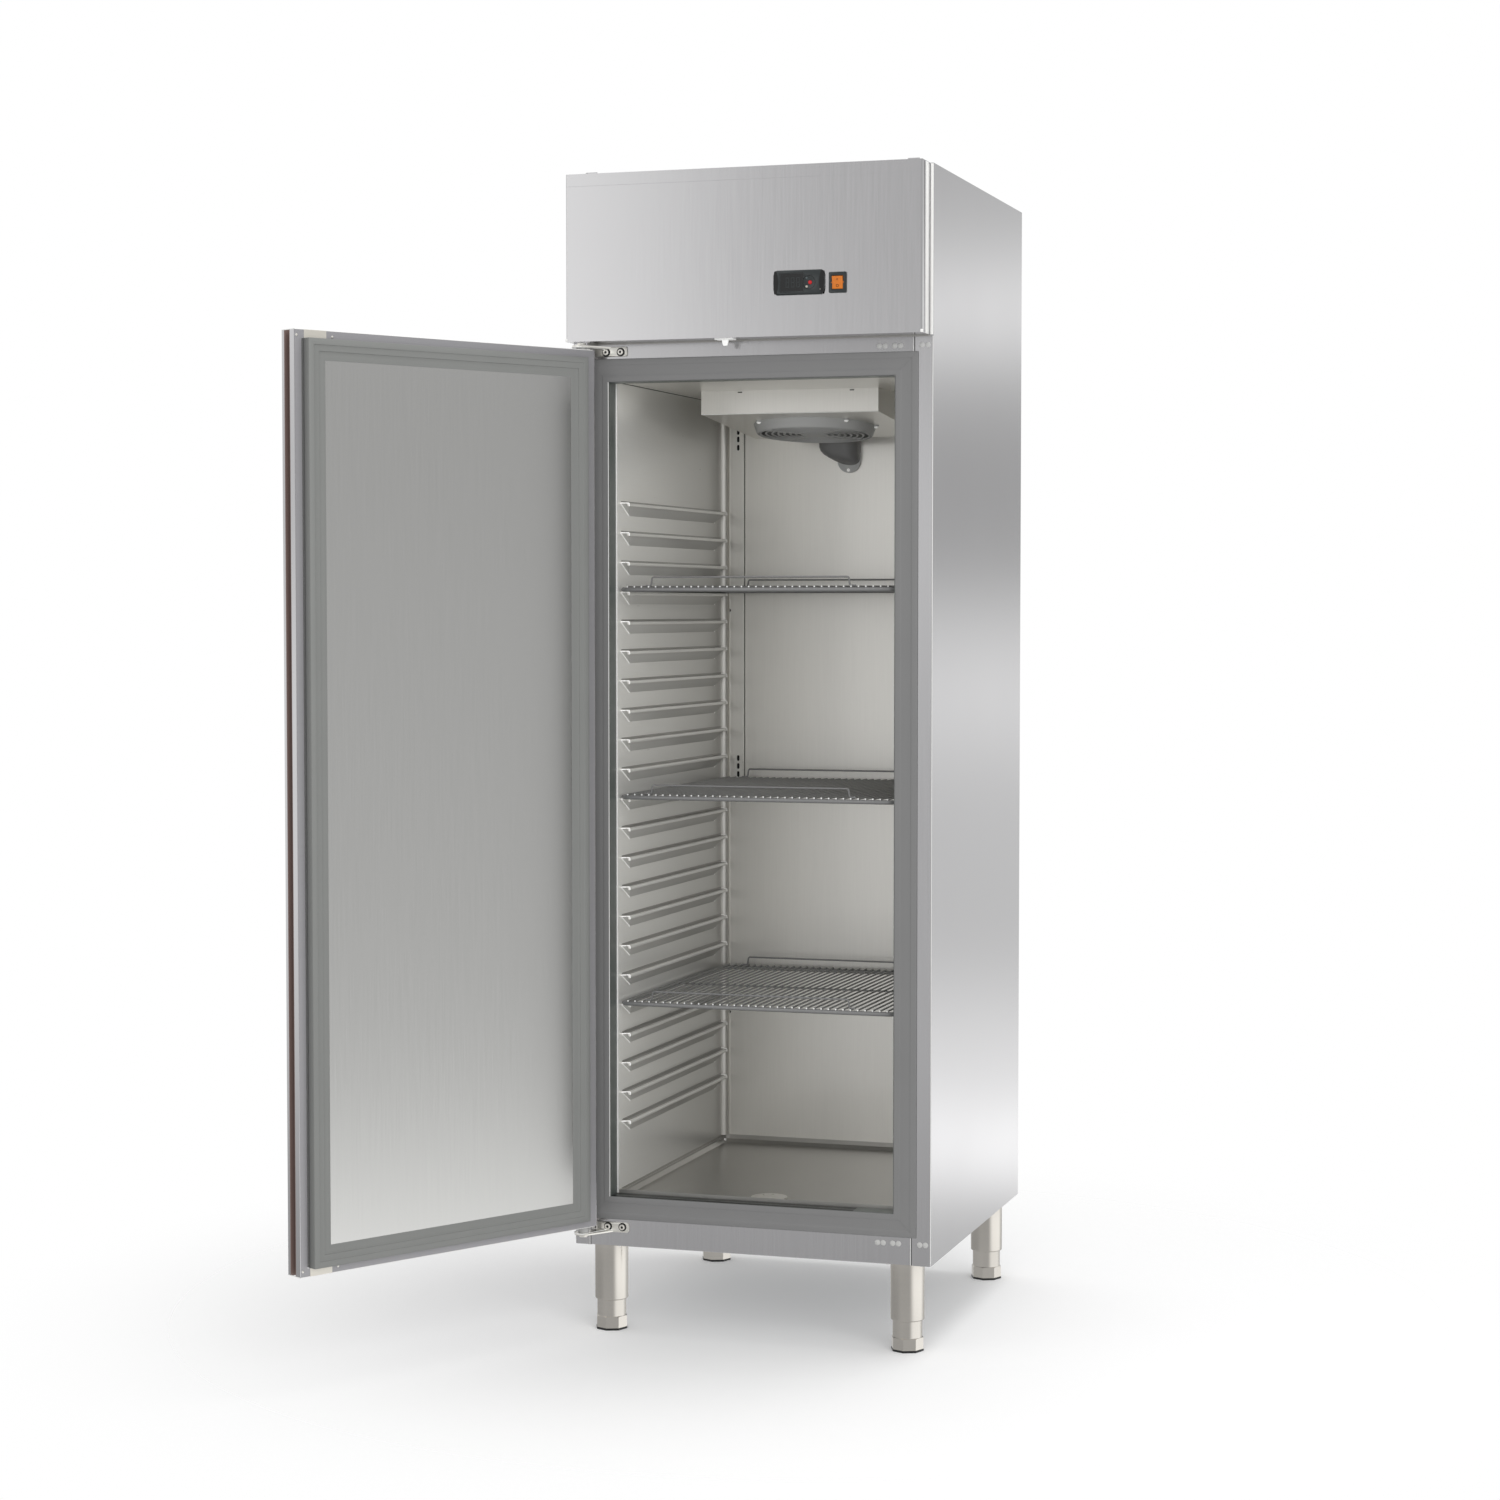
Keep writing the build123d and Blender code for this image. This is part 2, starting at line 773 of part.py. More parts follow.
# Panel inside the top front edge, with the knuckles and pins that the fascia hangs on
fascia_pin_y = y_front + outer_sheet
fascia_pin_z = z_top + fascia_hinge_rise
fascia_hinge_x = cabinet_width / 2 - fascia_hinge_inset
knuckle_width = fascia_hinge_width - ear_thickness - fit_clearance
hinge_rail_length = inner_width - 2 * (bend_radius - outer_sheet)
with BuildPart() as fascia_hinge_rail:
    with BuildSketch(sideways(-hinge_rail_length / 2)):
        with BuildLine():
            Polyline(
                (y_front + outer_sheet, z_top - hinge_rail_height),
                (y_front + outer_sheet, z_top - outer_sheet),
                (y_front + hinge_rail_depth, z_top - outer_sheet),
            )
            offset(amount=outer_sheet, side=Side.RIGHT)
        make_face()
    extrude(amount=hinge_rail_length)
    with BuildSketch(sideways(fascia_hinge_x - fascia_hinge_width / 2)):
        with Locations((fascia_pin_y, fascia_pin_z)):
            Circle(knuckle_radius)
        with Locations((fascia_pin_y, z_top - 2 * outer_sheet)):
            Rectangle(
                knuckle_radius, fascia_hinge_rise + 2 * outer_sheet, align=(Align.MIN, Align.MIN)
            )
    extrude(amount=knuckle_width)
    with BuildSketch(sideways(fascia_hinge_x - fascia_hinge_width / 2)):
        with Locations((fascia_pin_y, fascia_pin_z)):
            Circle(fascia_hinge_pin_radius)
    extrude(amount=fascia_hinge_width)
    mirror(about=Plane.YZ)
fascia_hinge_rail.part.label = "fascia_hinge_rail"
export_step(fascia_hinge_rail.part, "parts/fascia_hinge_rail.step")

# Hinge brackets: a plate on the rail and an arm out over the pin, above and below the door
top_arm_z = z_deck - top_bracket_drop - bracket_thickness
with BuildPart() as hinge_brackets:
    for arm_z, plate_z, screw_z in [
        (top_arm_z, top_plate_z, top_screw_z),
        (bottom_arm_z, bottom_arm_z, bottom_screw_z),
    ]:
        with BuildSketch(level(arm_z)):
            with Locations((hinge_x, hinge_y)):
                Circle(bracket_nose_radius)
            with Locations((x_left + bracket_left, y_front)):
                Rectangle(
                    bracket_arm_right - bracket_left,
                    bracket_thickness,
                    align=(Align.MIN, Align.MAX),
                )
            make_hull()
            with Locations((hinge_x, hinge_y)):
                Circle(pin_radius, mode=Mode.SUBTRACT)
        extrude(amount=bracket_thickness)
        with BuildSketch(upright(y_front)) as bracket_plate:
            with Locations((x_left + bracket_left, plate_z)):
                Rectangle(
                    bracket_right - bracket_left, bracket_height, align=(Align.MIN, Align.MIN)
                )
            fillet(bracket_plate.vertices().group_by(Axis.X)[-1], radius=bracket_corner_radius)
            with Locations(
                (x_left + bracket_screw_inner, screw_z),
                (x_left + bracket_screw_outer, screw_z),
            ):
                RegularPolygon(screw_shank_radius, 8, mode=Mode.SUBTRACT)
        extrude(amount=bracket_thickness)
hinge_brackets.part.label = "hinge_brackets"
export_step(hinge_brackets.part, "parts/hinge_brackets.step")

# Hinge pins, with their heads outside the arms
with BuildPart() as hinge_pins:
    with BuildSketch(level(top_arm_z + bracket_thickness)):
        with Locations((hinge_x, hinge_y)):
            RegularPolygon(pin_head_radius, 16)
    extrude(amount=pin_head_height)
    with BuildSketch(level(top_arm_z + bracket_thickness)):
        with Locations((hinge_x, hinge_y)):
            Circle(pin_radius)
    extrude(amount=-(top_arm_z + bracket_thickness - door_top + bush_depth - pin_end_gap))
    with BuildSketch(level(bottom_arm_z)):
        with Locations((hinge_x, hinge_y)):
            RegularPolygon(pin_head_radius, 16)
    extrude(amount=-pin_head_height)
    with BuildSketch(level(bottom_arm_z)):
        with Locations((hinge_x, hinge_y)):
            Circle(pin_radius)
    extrude(amount=door_bottom - bottom_arm_z + bush_depth - pin_end_gap)
hinge_pins.part.label = "hinge_pins"
export_step(hinge_pins.part, "parts/hinge_pins.step")

# Four socket screws through the bracket plates and the rails
with BuildPart() as hinge_screws:
    with BuildSketch(upright(y_front - bracket_thickness)):
        with Locations(
            (x_left + bracket_screw_inner, top_screw_z),
            (x_left + bracket_screw_outer, top_screw_z),
            (x_left + bracket_screw_inner, bottom_screw_z),
            (x_left + bracket_screw_outer, bottom_screw_z),
        ):
            RegularPolygon(screw_head_radius, 12)
    extrude(amount=screw_head_height)
    with BuildSketch(upright(y_front - bracket_thickness - screw_head_height)):
        with Locations(
            (x_left + bracket_screw_inner, top_screw_z),
            (x_left + bracket_screw_outer, top_screw_z),
            (x_left + bracket_screw_inner, bottom_screw_z),
            (x_left + bracket_screw_outer, bottom_screw_z),
        ):
            RegularPolygon(screw_socket_width / 2, 6, major_radius=False)
    extrude(amount=-screw_socket_depth, mode=Mode.SUBTRACT)
    with BuildSketch(upright(y_front - bracket_thickness)):
        with Locations(
            (x_left + bracket_screw_inner, top_screw_z),
            (x_left + bracket_screw_outer, top_screw_z),
            (x_left + bracket_screw_inner, bottom_screw_z),
            (x_left + bracket_screw_outer, bottom_screw_z),
        ):
            RegularPolygon(screw_shank_radius, 8)
    extrude(amount=-(bracket_thickness + outer_sheet))
hinge_screws.part.label = "hinge_screws"
export_step(hinge_screws.part, "parts/hinge_screws.step")

# Plugs in the spare hinge holes on the right, two discs side by side in each
with BuildPart() as hole_plugs:
    with BuildSketch(upright(y_front)):
        with Locations(
            (x_right - bracket_screw_inner, top_plate_z + plug_rise),
            (x_right - bracket_screw_outer, top_plate_z + plug_rise),
            (x_right - plug_column_inset, top_plate_z + plug_rise),
            (x_right - bracket_screw_inner, bottom_arm_z + plug_rise + plug_drop),
            (x_right - bracket_screw_outer, bottom_arm_z + plug_rise + plug_drop),
            (x_right - plug_column_inset, bottom_arm_z + plug_rise + plug_drop),
        ):
            with GridLocations(plug_pitch, 0, 2, 1):
                RegularPolygon(plug_radius, 12)
    extrude(amount=plug_height)
hole_plugs.part.label = "hole_plugs"
export_step(hole_plugs.part, "parts/hole_plugs.step")

# Legs: a fixed tube under each corner, closed above, and a foot that screws in and out of it
leg_front_y = y_front + leg_inset_front
leg_rear_y = y_rear - leg_inset_rear
leg_x = cabinet_width / 2 - leg_inset_side
leg_centres = [(-leg_x, leg_front_y), (leg_x, leg_front_y), (-leg_x, leg_rear_y), (leg_x, leg_rear_y)]
with BuildPart() as leg_tubes:
    with BuildSketch(level(leg_tube_end_height)):
        with Locations(*leg_centres):
            Circle(leg_tube_radius)
    extrude(amount=z_base - leg_tube_end_height)
    with BuildSketch(level(leg_tube_end_height)):
        with Locations(*leg_centres):
            RegularPolygon(foot_tube_radius + fit_clearance, 16, major_radius=False)
    extrude(amount=z_base - leg_tube_end_height - leg_cap_thickness, mode=Mode.SUBTRACT)
leg_tubes.part.label = "leg_tubes"
export_step(leg_tubes.part, "parts/leg_tubes.step")

foot_names = ["foot_front_left", "foot_front_right", "foot_rear_left", "foot_rear_right"]
for name, centre in zip(foot_names, leg_centres):
    with BuildPart() as foot:
        with BuildSketch(level(0)):
            with Locations(centre):
                RegularPolygon(foot_nut_radius - foot_pad_step, 8, rotation=22.5)
        extrude(amount=foot_pad_height)
        with BuildSketch(level(foot_pad_height)):
            with Locations(centre):
                RegularPolygon(foot_nut_radius, 8, rotation=22.5)
        extrude(amount=foot_nut_height)
        with BuildSketch(level(foot_pad_height + foot_nut_height)):
            with Locations(centre):
                Circle(foot_tube_radius)
                RegularPolygon(foot_tube_radius - foot_tube_wall, 12, mode=Mode.SUBTRACT)
        extrude(amount=leg_tube_end_height + foot_tube_engagement - foot_pad_height - foot_nut_height)
    foot.part.label = name
    export_step(foot.part, "parts/" + name + ".step")

# Slotted channel on the rear wall
channel_x = x_left + channel_left
channel_z = liner_ceiling_z - channel_top_gap
with BuildPart() as probe_channel:
    with BuildSketch(level(channel_z)):
        with Locations((channel_x, liner_rear_y)):
            Rectangle(channel_width, channel_depth, align=(Align.MIN, Align.MAX))
            with Locations((channel_sheet, 0)):
                Rectangle(
                    channel_width - 2 * channel_sheet,
                    channel_depth - channel_sheet,
                    align=(Align.MIN, Align.MAX),
                    mode=Mode.SUBTRACT,
                )
    extrude(amount=-channel_length)
    with BuildSketch(upright(liner_rear_y - channel_depth)):
        with Locations((channel_x + channel_width / 2, channel_z - channel_slot_end)):
            with Locations(*[(0, -i * channel_slot_pitch) for i in range(channel_slots)]):
                Rectangle(channel_slot_width, channel_slot_length)
        with Locations((channel_x + channel_width / 2, channel_z - channel_length + channel_slot_end)):
            with Locations(*[(0, i * channel_slot_pitch) for i in range(channel_slots)]):
                Rectangle(channel_slot_width, channel_slot_length)
    extrude(amount=-channel_sheet, mode=Mode.SUBTRACT)
probe_channel.part.label = "probe_channel"
export_step(probe_channel.part, "parts/probe_channel.step")

# Evaporator housing: a tray under the ceiling whose bottom slopes down to the rear
housing_x = x_left + evaporator_left
housing_y = y_front + evaporator_from_front
housing_depth = liner_rear_y - housing_y
slope = degrees(atan2(evaporator_rear_drop - evaporator_front_drop, housing_depth))
guard_x = housing_x + evaporator_width / 2
guard_y = liner_rear_y - guard_from_rear
guard_z = (
    liner_ceiling_z
    - evaporator_front_drop
    - (evaporator_rear_drop - evaporator_front_drop) * (guard_y - housing_y) / housing_depth
)
guard_normal = Vector(0, -sin(radians(slope)), -cos(radians(slope)))
guard_origin = Vector(guard_x, guard_y, guard_z)


def slope_plane(drop):
    """Plane along the housing's sloped bottom, a distance below it and facing down."""
    return Plane(origin=guard_origin + guard_normal * drop, x_dir=(1, 0, 0), z_dir=guard_normal)


with BuildPart() as evaporator_housing:
    with BuildSketch(sideways(housing_x)):
        with BuildLine():
            Polyline(
                (housing_y, liner_ceiling_z),
                (housing_y, liner_ceiling_z - evaporator_front_drop),
                (liner_rear_y, liner_ceiling_z - evaporator_rear_drop),
                (liner_rear_y, liner_ceiling_z),
                close=True,
            )
        make_face()
    extrude(amount=evaporator_width)
    offset(
        amount=-evaporator_sheet,
        openings=evaporator_housing.faces().sort_by(Axis.Z)[-1],
        kind=Kind.INTERSECTION,
    )
    with BuildSketch(slope_plane(0)):
        Circle(housing_hole_radius)
    extrude(amount=-3 * evaporator_sheet, mode=Mode.SUBTRACT)
evaporator_housing.part.label = "evaporator_housing"
export_step(evaporator_housing.part, "parts/evaporator_housing.step")

# Fan guard under the housing: a tapered skirt, rings and spokes, and a hub that carries the motor
with BuildPart() as fan_guard:
    with Locations(slope_plane(0)):
        Cone(
            guard_radius, guard_rim_radius, guard_height, align=(Align.CENTER, Align.CENTER, Align.MIN)
        )
        Cone(
            guard_radius - guard_wall,
            guard_rim_radius - guard_wall,
            guard_height,
            align=(Align.CENTER, Align.CENTER, Align.MIN),
            mode=Mode.SUBTRACT,
        )
    with BuildSketch(slope_plane(guard_height - guard_grille)):
        for ring in range(guard_ring_count):
            ring_radius = guard_hub_radius + (ring + 1) * guard_ring_pitch
            RegularPolygon(ring_radius, guard_ring_sides)
            RegularPolygon(ring_radius - guard_ring_width, guard_ring_sides, mode=Mode.SUBTRACT)
        Circle(guard_hub_radius)
        Rectangle(2 * guard_rim_radius - guard_wall, guard_spoke_width, rotation=45)
        Rectangle(2 * guard_rim_radius - guard_wall, guard_spoke_width, rotation=-45)
    extrude(amount=guard_grille)
fan_guard.part.label = "fan_guard"
export_step(fan_guard.part, "parts/fan_guard.step")

# Evaporator fan motor, standing on the guard's hub
with BuildPart() as evaporator_fan_motor:
    with BuildSketch(slope_plane(guard_height - guard_grille)):
        RegularPolygon(fan_motor_radius, hidden_sides)
    extrude(amount=-fan_motor_height)
    with BuildSketch(slope_plane(guard_height - guard_grille - fan_motor_height)):
        Circle(fan_shaft_radius)
    extrude(amount=-(fan_hub_gap + fan_hub_height - fan_shaft_end))
evaporator_fan_motor.part.label = "evaporator_fan_motor"
export_step(evaporator_fan_motor.part, "parts/evaporator_fan_motor.step")


def fan_rotor(plane, tip_radius, chord, pitch):
    """Hub and twisted blades; the plane's normal points away from the motor."""
    with BuildPart() as blade:
        with BuildSketch(Plane.YZ.offset(fan_hub_radius - 2 * fan_blade_thickness)):
            with Locations((0, fan_hub_height / 2)):
                Rectangle(fan_root_chord, fan_blade_thickness, rotation=pitch)
        with BuildSketch(Plane.YZ.offset(tip_radius)):
            with Locations((0, fan_hub_height / 2)):
                Rectangle(chord, fan_blade_thickness, rotation=pitch)
        loft(ruled=True)
    with BuildPart() as rotor:
        with BuildSketch():
            RegularPolygon(fan_hub_radius, hidden_sides)
        extrude(amount=fan_hub_height)
        with PolarLocations(0, fan_blade_count):
            add(blade.part)
        with BuildSketch():
            Circle(fan_shaft_radius + shaft_clearance)
        extrude(amount=fan_hub_height - fan_bore_end, mode=Mode.SUBTRACT)
    with BuildPart() as placed:
        with Locations(plane):
            add(rotor.part)
    return placed.part


evaporator_rotor = fan_rotor(
    Plane(
        origin=guard_origin
        + guard_normal * (guard_height - guard_grille - fan_motor_height - fan_hub_gap),
        x_dir=(1, 0, 0),
        z_dir=-guard_normal,
    ),
    evaporator_fan_radius,
    evaporator_blade_chord,
    evaporator_blade_pitch,
)
evaporator_rotor.label = "evaporator_fan_blades"
export_step(evaporator_rotor, "parts/evaporator_fan_blades.step")

# Evaporator coil at the rear of the housing, a block with slots for its fins
coil_width = evaporator_width - 2 * evaporator_sheet - 2 * coil_side_gap
coil_y = liner_rear_y - evaporator_sheet - coil_rear_gap
coil_pitch = coil_width / coil_fin_count
with BuildPart() as evaporator_coil:
    with BuildSketch(level(liner_ceiling_z)):
        with Locations((guard_x, coil_y)):
            Rectangle(coil_width, coil_depth, align=(Align.CENTER, Align.MAX))
    extrude(amount=-coil_height)
    with BuildSketch(upright(coil_y - coil_depth)):
        with Locations((guard_x, liner_ceiling_z - coil_height)):
            with GridLocations(coil_pitch, 0, coil_fin_count - 1, 1):
                Rectangle(
                    coil_pitch - coil_fin, coil_height - coil_back, align=(Align.CENTER, Align.MIN)
                )
    extrude(amount=-coil_depth, mode=Mode.SUBTRACT)
evaporator_coil.part.label = "evaporator_coil"
export_step(evaporator_coil.part, "parts/evaporator_coil.step")

# Moulded cover over the drain pipe's bend on the rear wall
lobe_z = liner_ceiling_z - elbow_lobe_drop
with BuildPart() as drain_elbow:
    with BuildSketch(upright(liner_rear_y)):
        with Locations((x_left + elbow_left, liner_ceiling_z - evaporator_rear_drop)):
            Rectangle(elbow_width, elbow_shoulder, align=(Align.MIN, Align.MAX))
        with Locations((x_left + elbow_lobe_x, lobe_z)):
            Circle(elbow_lobe_radius)
        make_hull()
    extrude(amount=elbow_depth)
    chamfer(drain_elbow.edges().group_by(Axis.Y)[0], elbow_bevel)
drain_elbow.part.label = "drain_elbow"
export_step(drain_elbow.part, "parts/drain_elbow.step")

# Wire shelves: a rod loop with rounded corners, cross rods, wires front to back and a stop wire at each end
shelf_width = liner_right_x - liner_left_x - 2 * shelf_side_clearance
shelf_front_y = liner_front_y - shelf_front_reach
shelf_rear_y = liner_rear_y - shelf_rear_gap
shelf_y = (shelf_front_y + shelf_rear_y) / 2
shelf_depth = shelf_rear_y - shelf_front_y
rod = 2 * shelf_rod_radius
shelf_names = ["shelf_lower", "shelf_middle", "shelf_upper"]
shelf_runners = [shelf_lower_runner_count, shelf_middle_runner_count, shelf_upper_runner_count]
for name, runner_number in zip(shelf_names, shelf_runners):
    rod_z = runner_tops[runner_number - 1] + shelf_seat
    wire_z = rod_z + rod - wire_overlap
    with BuildPart() as shelf:
        with BuildSketch(level(rod_z)):
            with Locations((0, shelf_y)):
                RectangleRounded(shelf_width, shelf_depth, shelf_corner_radius)
                Rectangle(shelf_width - 2 * rod, shelf_depth - 2 * rod, mode=Mode.SUBTRACT)
        extrude(amount=rod)
        with BuildSketch(level(wire_z)):
            with Locations((0, shelf_y)):
                Rectangle(shelf_width - rod, shelf_depth - rod)
                with GridLocations(shelf_wire_pitch, 0, shelf_wire_count - 1, 1):
                    Rectangle(
                        shelf_wire_pitch - shelf_wire, shelf_depth - 2 * rod, mode=Mode.SUBTRACT
                    )
        extrude(amount=shelf_wire)
        with BuildSketch(level(wire_z)):
            with Locations((0, shelf_y)):
                Rectangle(shelf_width - rod, shelf_cross_rod)
        extrude(amount=-shelf_cross_rod)
        for stop_y in [shelf_front_y + stop_wire_setback, shelf_rear_y - stop_wire_setback]:
            with BuildSketch(upright(stop_y + shelf_wire / 2)):
                with Locations((stop_wire_x, wire_z)):
                    Trapezoid(
                        stop_wire_length, stop_wire_height, 45, align=(Align.CENTER, Align.MIN)
                    )
                    Trapezoid(
                        stop_wire_length - 2 * shelf_wire,
                        stop_wire_height - shelf_wire,
                        45,
                        align=(Align.CENTER, Align.MIN),
                        mode=Mode.SUBTRACT,
                    )
            extrude(amount=shelf_wire)
            with BuildSketch(level(wire_z)):
                with Locations((stop_wire_x, stop_y)):
                    with GridLocations(stop_wire_length - stop_wire_foot, 0, 2, 1):
                        Rectangle(stop_wire_foot + 2 * shelf_wire, shelf_wire)
            extrude(amount=shelf_wire)
    shelf.part.label = name
    export_step(shelf.part, "parts/" + name + ".step")

# Fascia: a folded pan over the machine compartment, with ears on the hinge pins and two cut-outs
fascia_width = cabinet_width - 2 * fascia_side_gap
fascia_front_y = y_front - fascia_depth
fascia_rear_y = y_front - fascia_rear_gap
controller_z = z_deck + controller_rise
switch_z = z_deck + switch_rise
with BuildPart() as fascia_panel:
    with BuildSketch(level(z_deck)):
        with Locations((0, fascia_front_y)):
            Rectangle(
                fascia_width, fascia_rear_y - fascia_front_y, align=(Align.CENTER, Align.MIN)
            )
    extrude(amount=machine_height)
    front_face_edges = fascia_panel.faces().sort_by(Axis.Y)[0].edges()
    fillet(front_face_edges.filter_by(Axis.Z), radius=fascia_bend)
    offset(
        amount=-fascia_sheet,
        openings=fascia_panel.faces().sort_by(Axis.Y)[-1],
        kind=Kind.INTERSECTION,
    )
    with BuildSketch(upright(fascia_front_y)):
        with Locations((controller_x, controller_z)):
            Rectangle(controller_body_width, controller_body_height)
        with Locations((switch_x, switch_z)):
            Rectangle(switch_body_width, switch_body_height)
    extrude(amount=-2 * fascia_sheet, mode=Mode.SUBTRACT)
    with BuildSketch(sideways(fascia_hinge_x + fascia_hinge_width / 2)):
        with Locations((fascia_pin_y, fascia_pin_z)):
            Circle(knuckle_radius)
        with Locations((fascia_rear_y, z_top - fascia_sheet)):
            Rectangle(ear_reach, fascia_sheet, align=(Align.MAX, Align.MIN))
        make_hull()
        with Locations((fascia_pin_y, fascia_pin_z)):
            Circle(fascia_hinge_pin_radius + shaft_clearance, mode=Mode.SUBTRACT)
        with Locations((fascia_rear_y, z_top)):
            Rectangle(
                cabinet_depth, machine_height, align=(Align.MIN, Align.MAX), mode=Mode.SUBTRACT
            )
    extrude(amount=-ear_thickness)
    with BuildSketch(sideways(-fascia_hinge_x - fascia_hinge_width / 2)):
        with Locations((fascia_pin_y, fascia_pin_z)):
            Circle(knuckle_radius)
        with Locations((fascia_rear_y, z_top - fascia_sheet)):
            Rectangle(ear_reach, fascia_sheet, align=(Align.MAX, Align.MIN))
        make_hull()
        with Locations((fascia_pin_y, fascia_pin_z)):
            Circle(fascia_hinge_pin_radius + shaft_clearance, mode=Mode.SUBTRACT)
        with Locations((fascia_rear_y, z_top)):
            Rectangle(
                cabinet_depth, machine_height, align=(Align.MIN, Align.MAX), mode=Mode.SUBTRACT
            )
    extrude(amount=ear_thickness)
fascia_panel.part.label = "fascia_panel"
export_step(fascia_panel.part, "parts/fascia_panel.step")

# Controller: a bezel with bulged ends, a recess for its window, and holes for its keys
key_face_y = fascia_front_y - controller_bezel
with BuildPart() as controller_housing:
    with BuildSketch(upright(fascia_front_y)):
        with Locations((controller_x, controller_z)):
            Rectangle(controller_width - 2 * controller_bulge, controller_height)
        with BuildLine():
            e1 = ThreePointArc(
                (
                    controller_x + controller_width / 2 - controller_bulge,
                    controller_z - controller_height / 2,
                ),
                (controller_x + controller_width / 2, controller_z),
                (
                    controller_x + controller_width / 2 - controller_bulge,
                    controller_z + controller_height / 2,
                ),
            )
            Line(e1 @ 1, e1 @ 0)
        make_face()
        with BuildLine():
            e2 = ThreePointArc(
                (
                    controller_x - controller_width / 2 + controller_bulge,
                    controller_z - controller_height / 2,
                ),
                (controller_x - controller_width / 2, controller_z),
                (
                    controller_x - controller_width / 2 + controller_bulge,
                    controller_z + controller_height / 2,
                ),
            )
            Line(e2 @ 1, e2 @ 0)
        make_face()
    extrude(amount=controller_bezel)
    chamfer(controller_housing.edges().group_by(Axis.Y)[0], length=controller_bezel / 2)
    with BuildSketch(upright(fascia_front_y)):
        with Locations((controller_x, controller_z)):
            Rectangle(controller_body_width, controller_body_height)
    extrude(amount=-controller_body_depth)
    with BuildSketch(upright(key_face_y)):
        with Locations((controller_x + window_offset, controller_z)):
            Rectangle(window_width, window_height)
    extrude(amount=-window_thickness, mode=Mode.SUBTRACT)
    with BuildSketch(upright(key_face_y)):
        with Locations((controller_x + key_power_x, controller_z + key_power_z)):
            Circle(key_power_radius + key_gap)
        with Locations((controller_x + key_small_x, controller_z + key_up_z)):
            Circle(key_small_radius + key_gap)
        with Locations((controller_x + key_small_x, controller_z + key_down_z)):
            Circle(key_small_radius + key_gap)
    extrude(amount=-(key_depth + key_travel + key_gap), mode=Mode.SUBTRACT)
controller_housing.part.label = "controller_housing"
export_step(controller_housing.part, "parts/controller_housing.step")

with BuildPart() as controller_window:
    with BuildSketch(upright(key_face_y + window_thickness)):
        with Locations((controller_x + window_offset, controller_z)):
            Rectangle(window_width, window_height)
    extrude(amount=window_thickness)
controller_window.part.label = "controller_window"
export_step(controller_window.part, "parts/controller_window.step")

with BuildPart() as key_power:
    with BuildSketch(upright(key_face_y + key_depth)):
        with Locations((controller_x + key_power_x, controller_z + key_power_z)):
            Circle(key_power_radius)
    extrude(amount=key_depth + key_proud)
key_power.part.label = "key_power"
export_step(key_power.part, "parts/key_power.step")

with BuildPart() as key_up:
    with BuildSketch(upright(key_face_y + key_depth)):
        with Locations((controller_x + key_small_x, controller_z + key_up_z)):
            Circle(key_small_radius)
    extrude(amount=key_depth + key_proud)
key_up.part.label = "key_up"
export_step(key_up.part, "parts/key_up.step")

with BuildPart() as key_down:
    with BuildSketch(upright(key_face_y + key_depth)):
        with Locations((controller_x + key_small_x, controller_z + key_down_z)):
            Circle(key_small_radius)
    extrude(amount=key_depth + key_proud)
key_down.part.label = "key_down"
export_step(key_down.part, "parts/key_down.step")

# Rocker switch: a frame with a bezel and a closed box, and a rocker on two trunnions
rocker_y = fascia_front_y - switch_bezel + rocker_pivot_depth
with BuildPart() as switch_frame:
    with BuildSketch(upright(fascia_front_y)):
        with Locations((switch_x, switch_z)):
            RectangleRounded(switch_width, switch_height, switch_corner)
    extrude(amount=switch_bezel)
    with BuildSketch(upright(fascia_front_y)):
        with Locations((switch_x, switch_z)):
            Rectangle(switch_body_width, switch_body_height)
    extrude(amount=-switch_body_depth)
    with BuildSketch(upright(fascia_front_y - switch_bezel)):
        with Locations((switch_x, switch_z)):
            Rectangle(switch_window_width, switch_window_height)
    extrude(amount=-(switch_bezel + switch_body_depth - switch_back), mode=Mode.SUBTRACT)
    with BuildSketch(sideways(switch_x)):
        with Locations((rocker_y, switch_z)):
            Circle(rocker_pin_radius + shaft_clearance)
    extrude(amount=rocker_pin_reach + shaft_clearance, both=True, mode=Mode.SUBTRACT)
switch_frame.part.label = "switch_frame"
export_step(switch_frame.part, "parts/switch_frame.step")

rocker_radius = switch_window_height / 2 - rocker_gap
with BuildPart() as switch_rocker:
    with BuildSketch(
        Plane(
            origin=(switch_x, rocker_y, switch_z),
            x_dir=(0, cos(radians(rocker_tilt)), sin(radians(rocker_tilt))),
            z_dir=(1, 0, 0),
        )
    ):
        Circle(rocker_radius)
        with BuildLine():
            Polyline(
                (-rocker_centre_rise, 0),
                (-rocker_centre_rise - rocker_radius * sin(radians(rocker_tilt)), rocker_radius),
                (-2 * rocker_radius, rocker_radius),
                (-2 * rocker_radius, -rocker_radius),
                (-rocker_centre_rise - rocker_radius * sin(radians(rocker_tilt)), -rocker_radius),
                close=True,
            )
        make_face(mode=Mode.SUBTRACT)
        with Locations((rocker_back, 0)):
            Rectangle(
                rocker_radius, 2 * rocker_radius, align=(Align.MIN, Align.CENTER), mode=Mode.SUBTRACT
            )
    extrude(amount=switch_window_width / 2 - rocker_gap, both=True)
    with BuildSketch(sideways(switch_x)):
        with Locations((rocker_y, switch_z)):
            Circle(rocker_pin_radius)
    extrude(amount=rocker_pin_reach, both=True)
switch_rocker.part.label = "switch_rocker"
export_step(switch_rocker.part, "parts/switch_rocker.step")

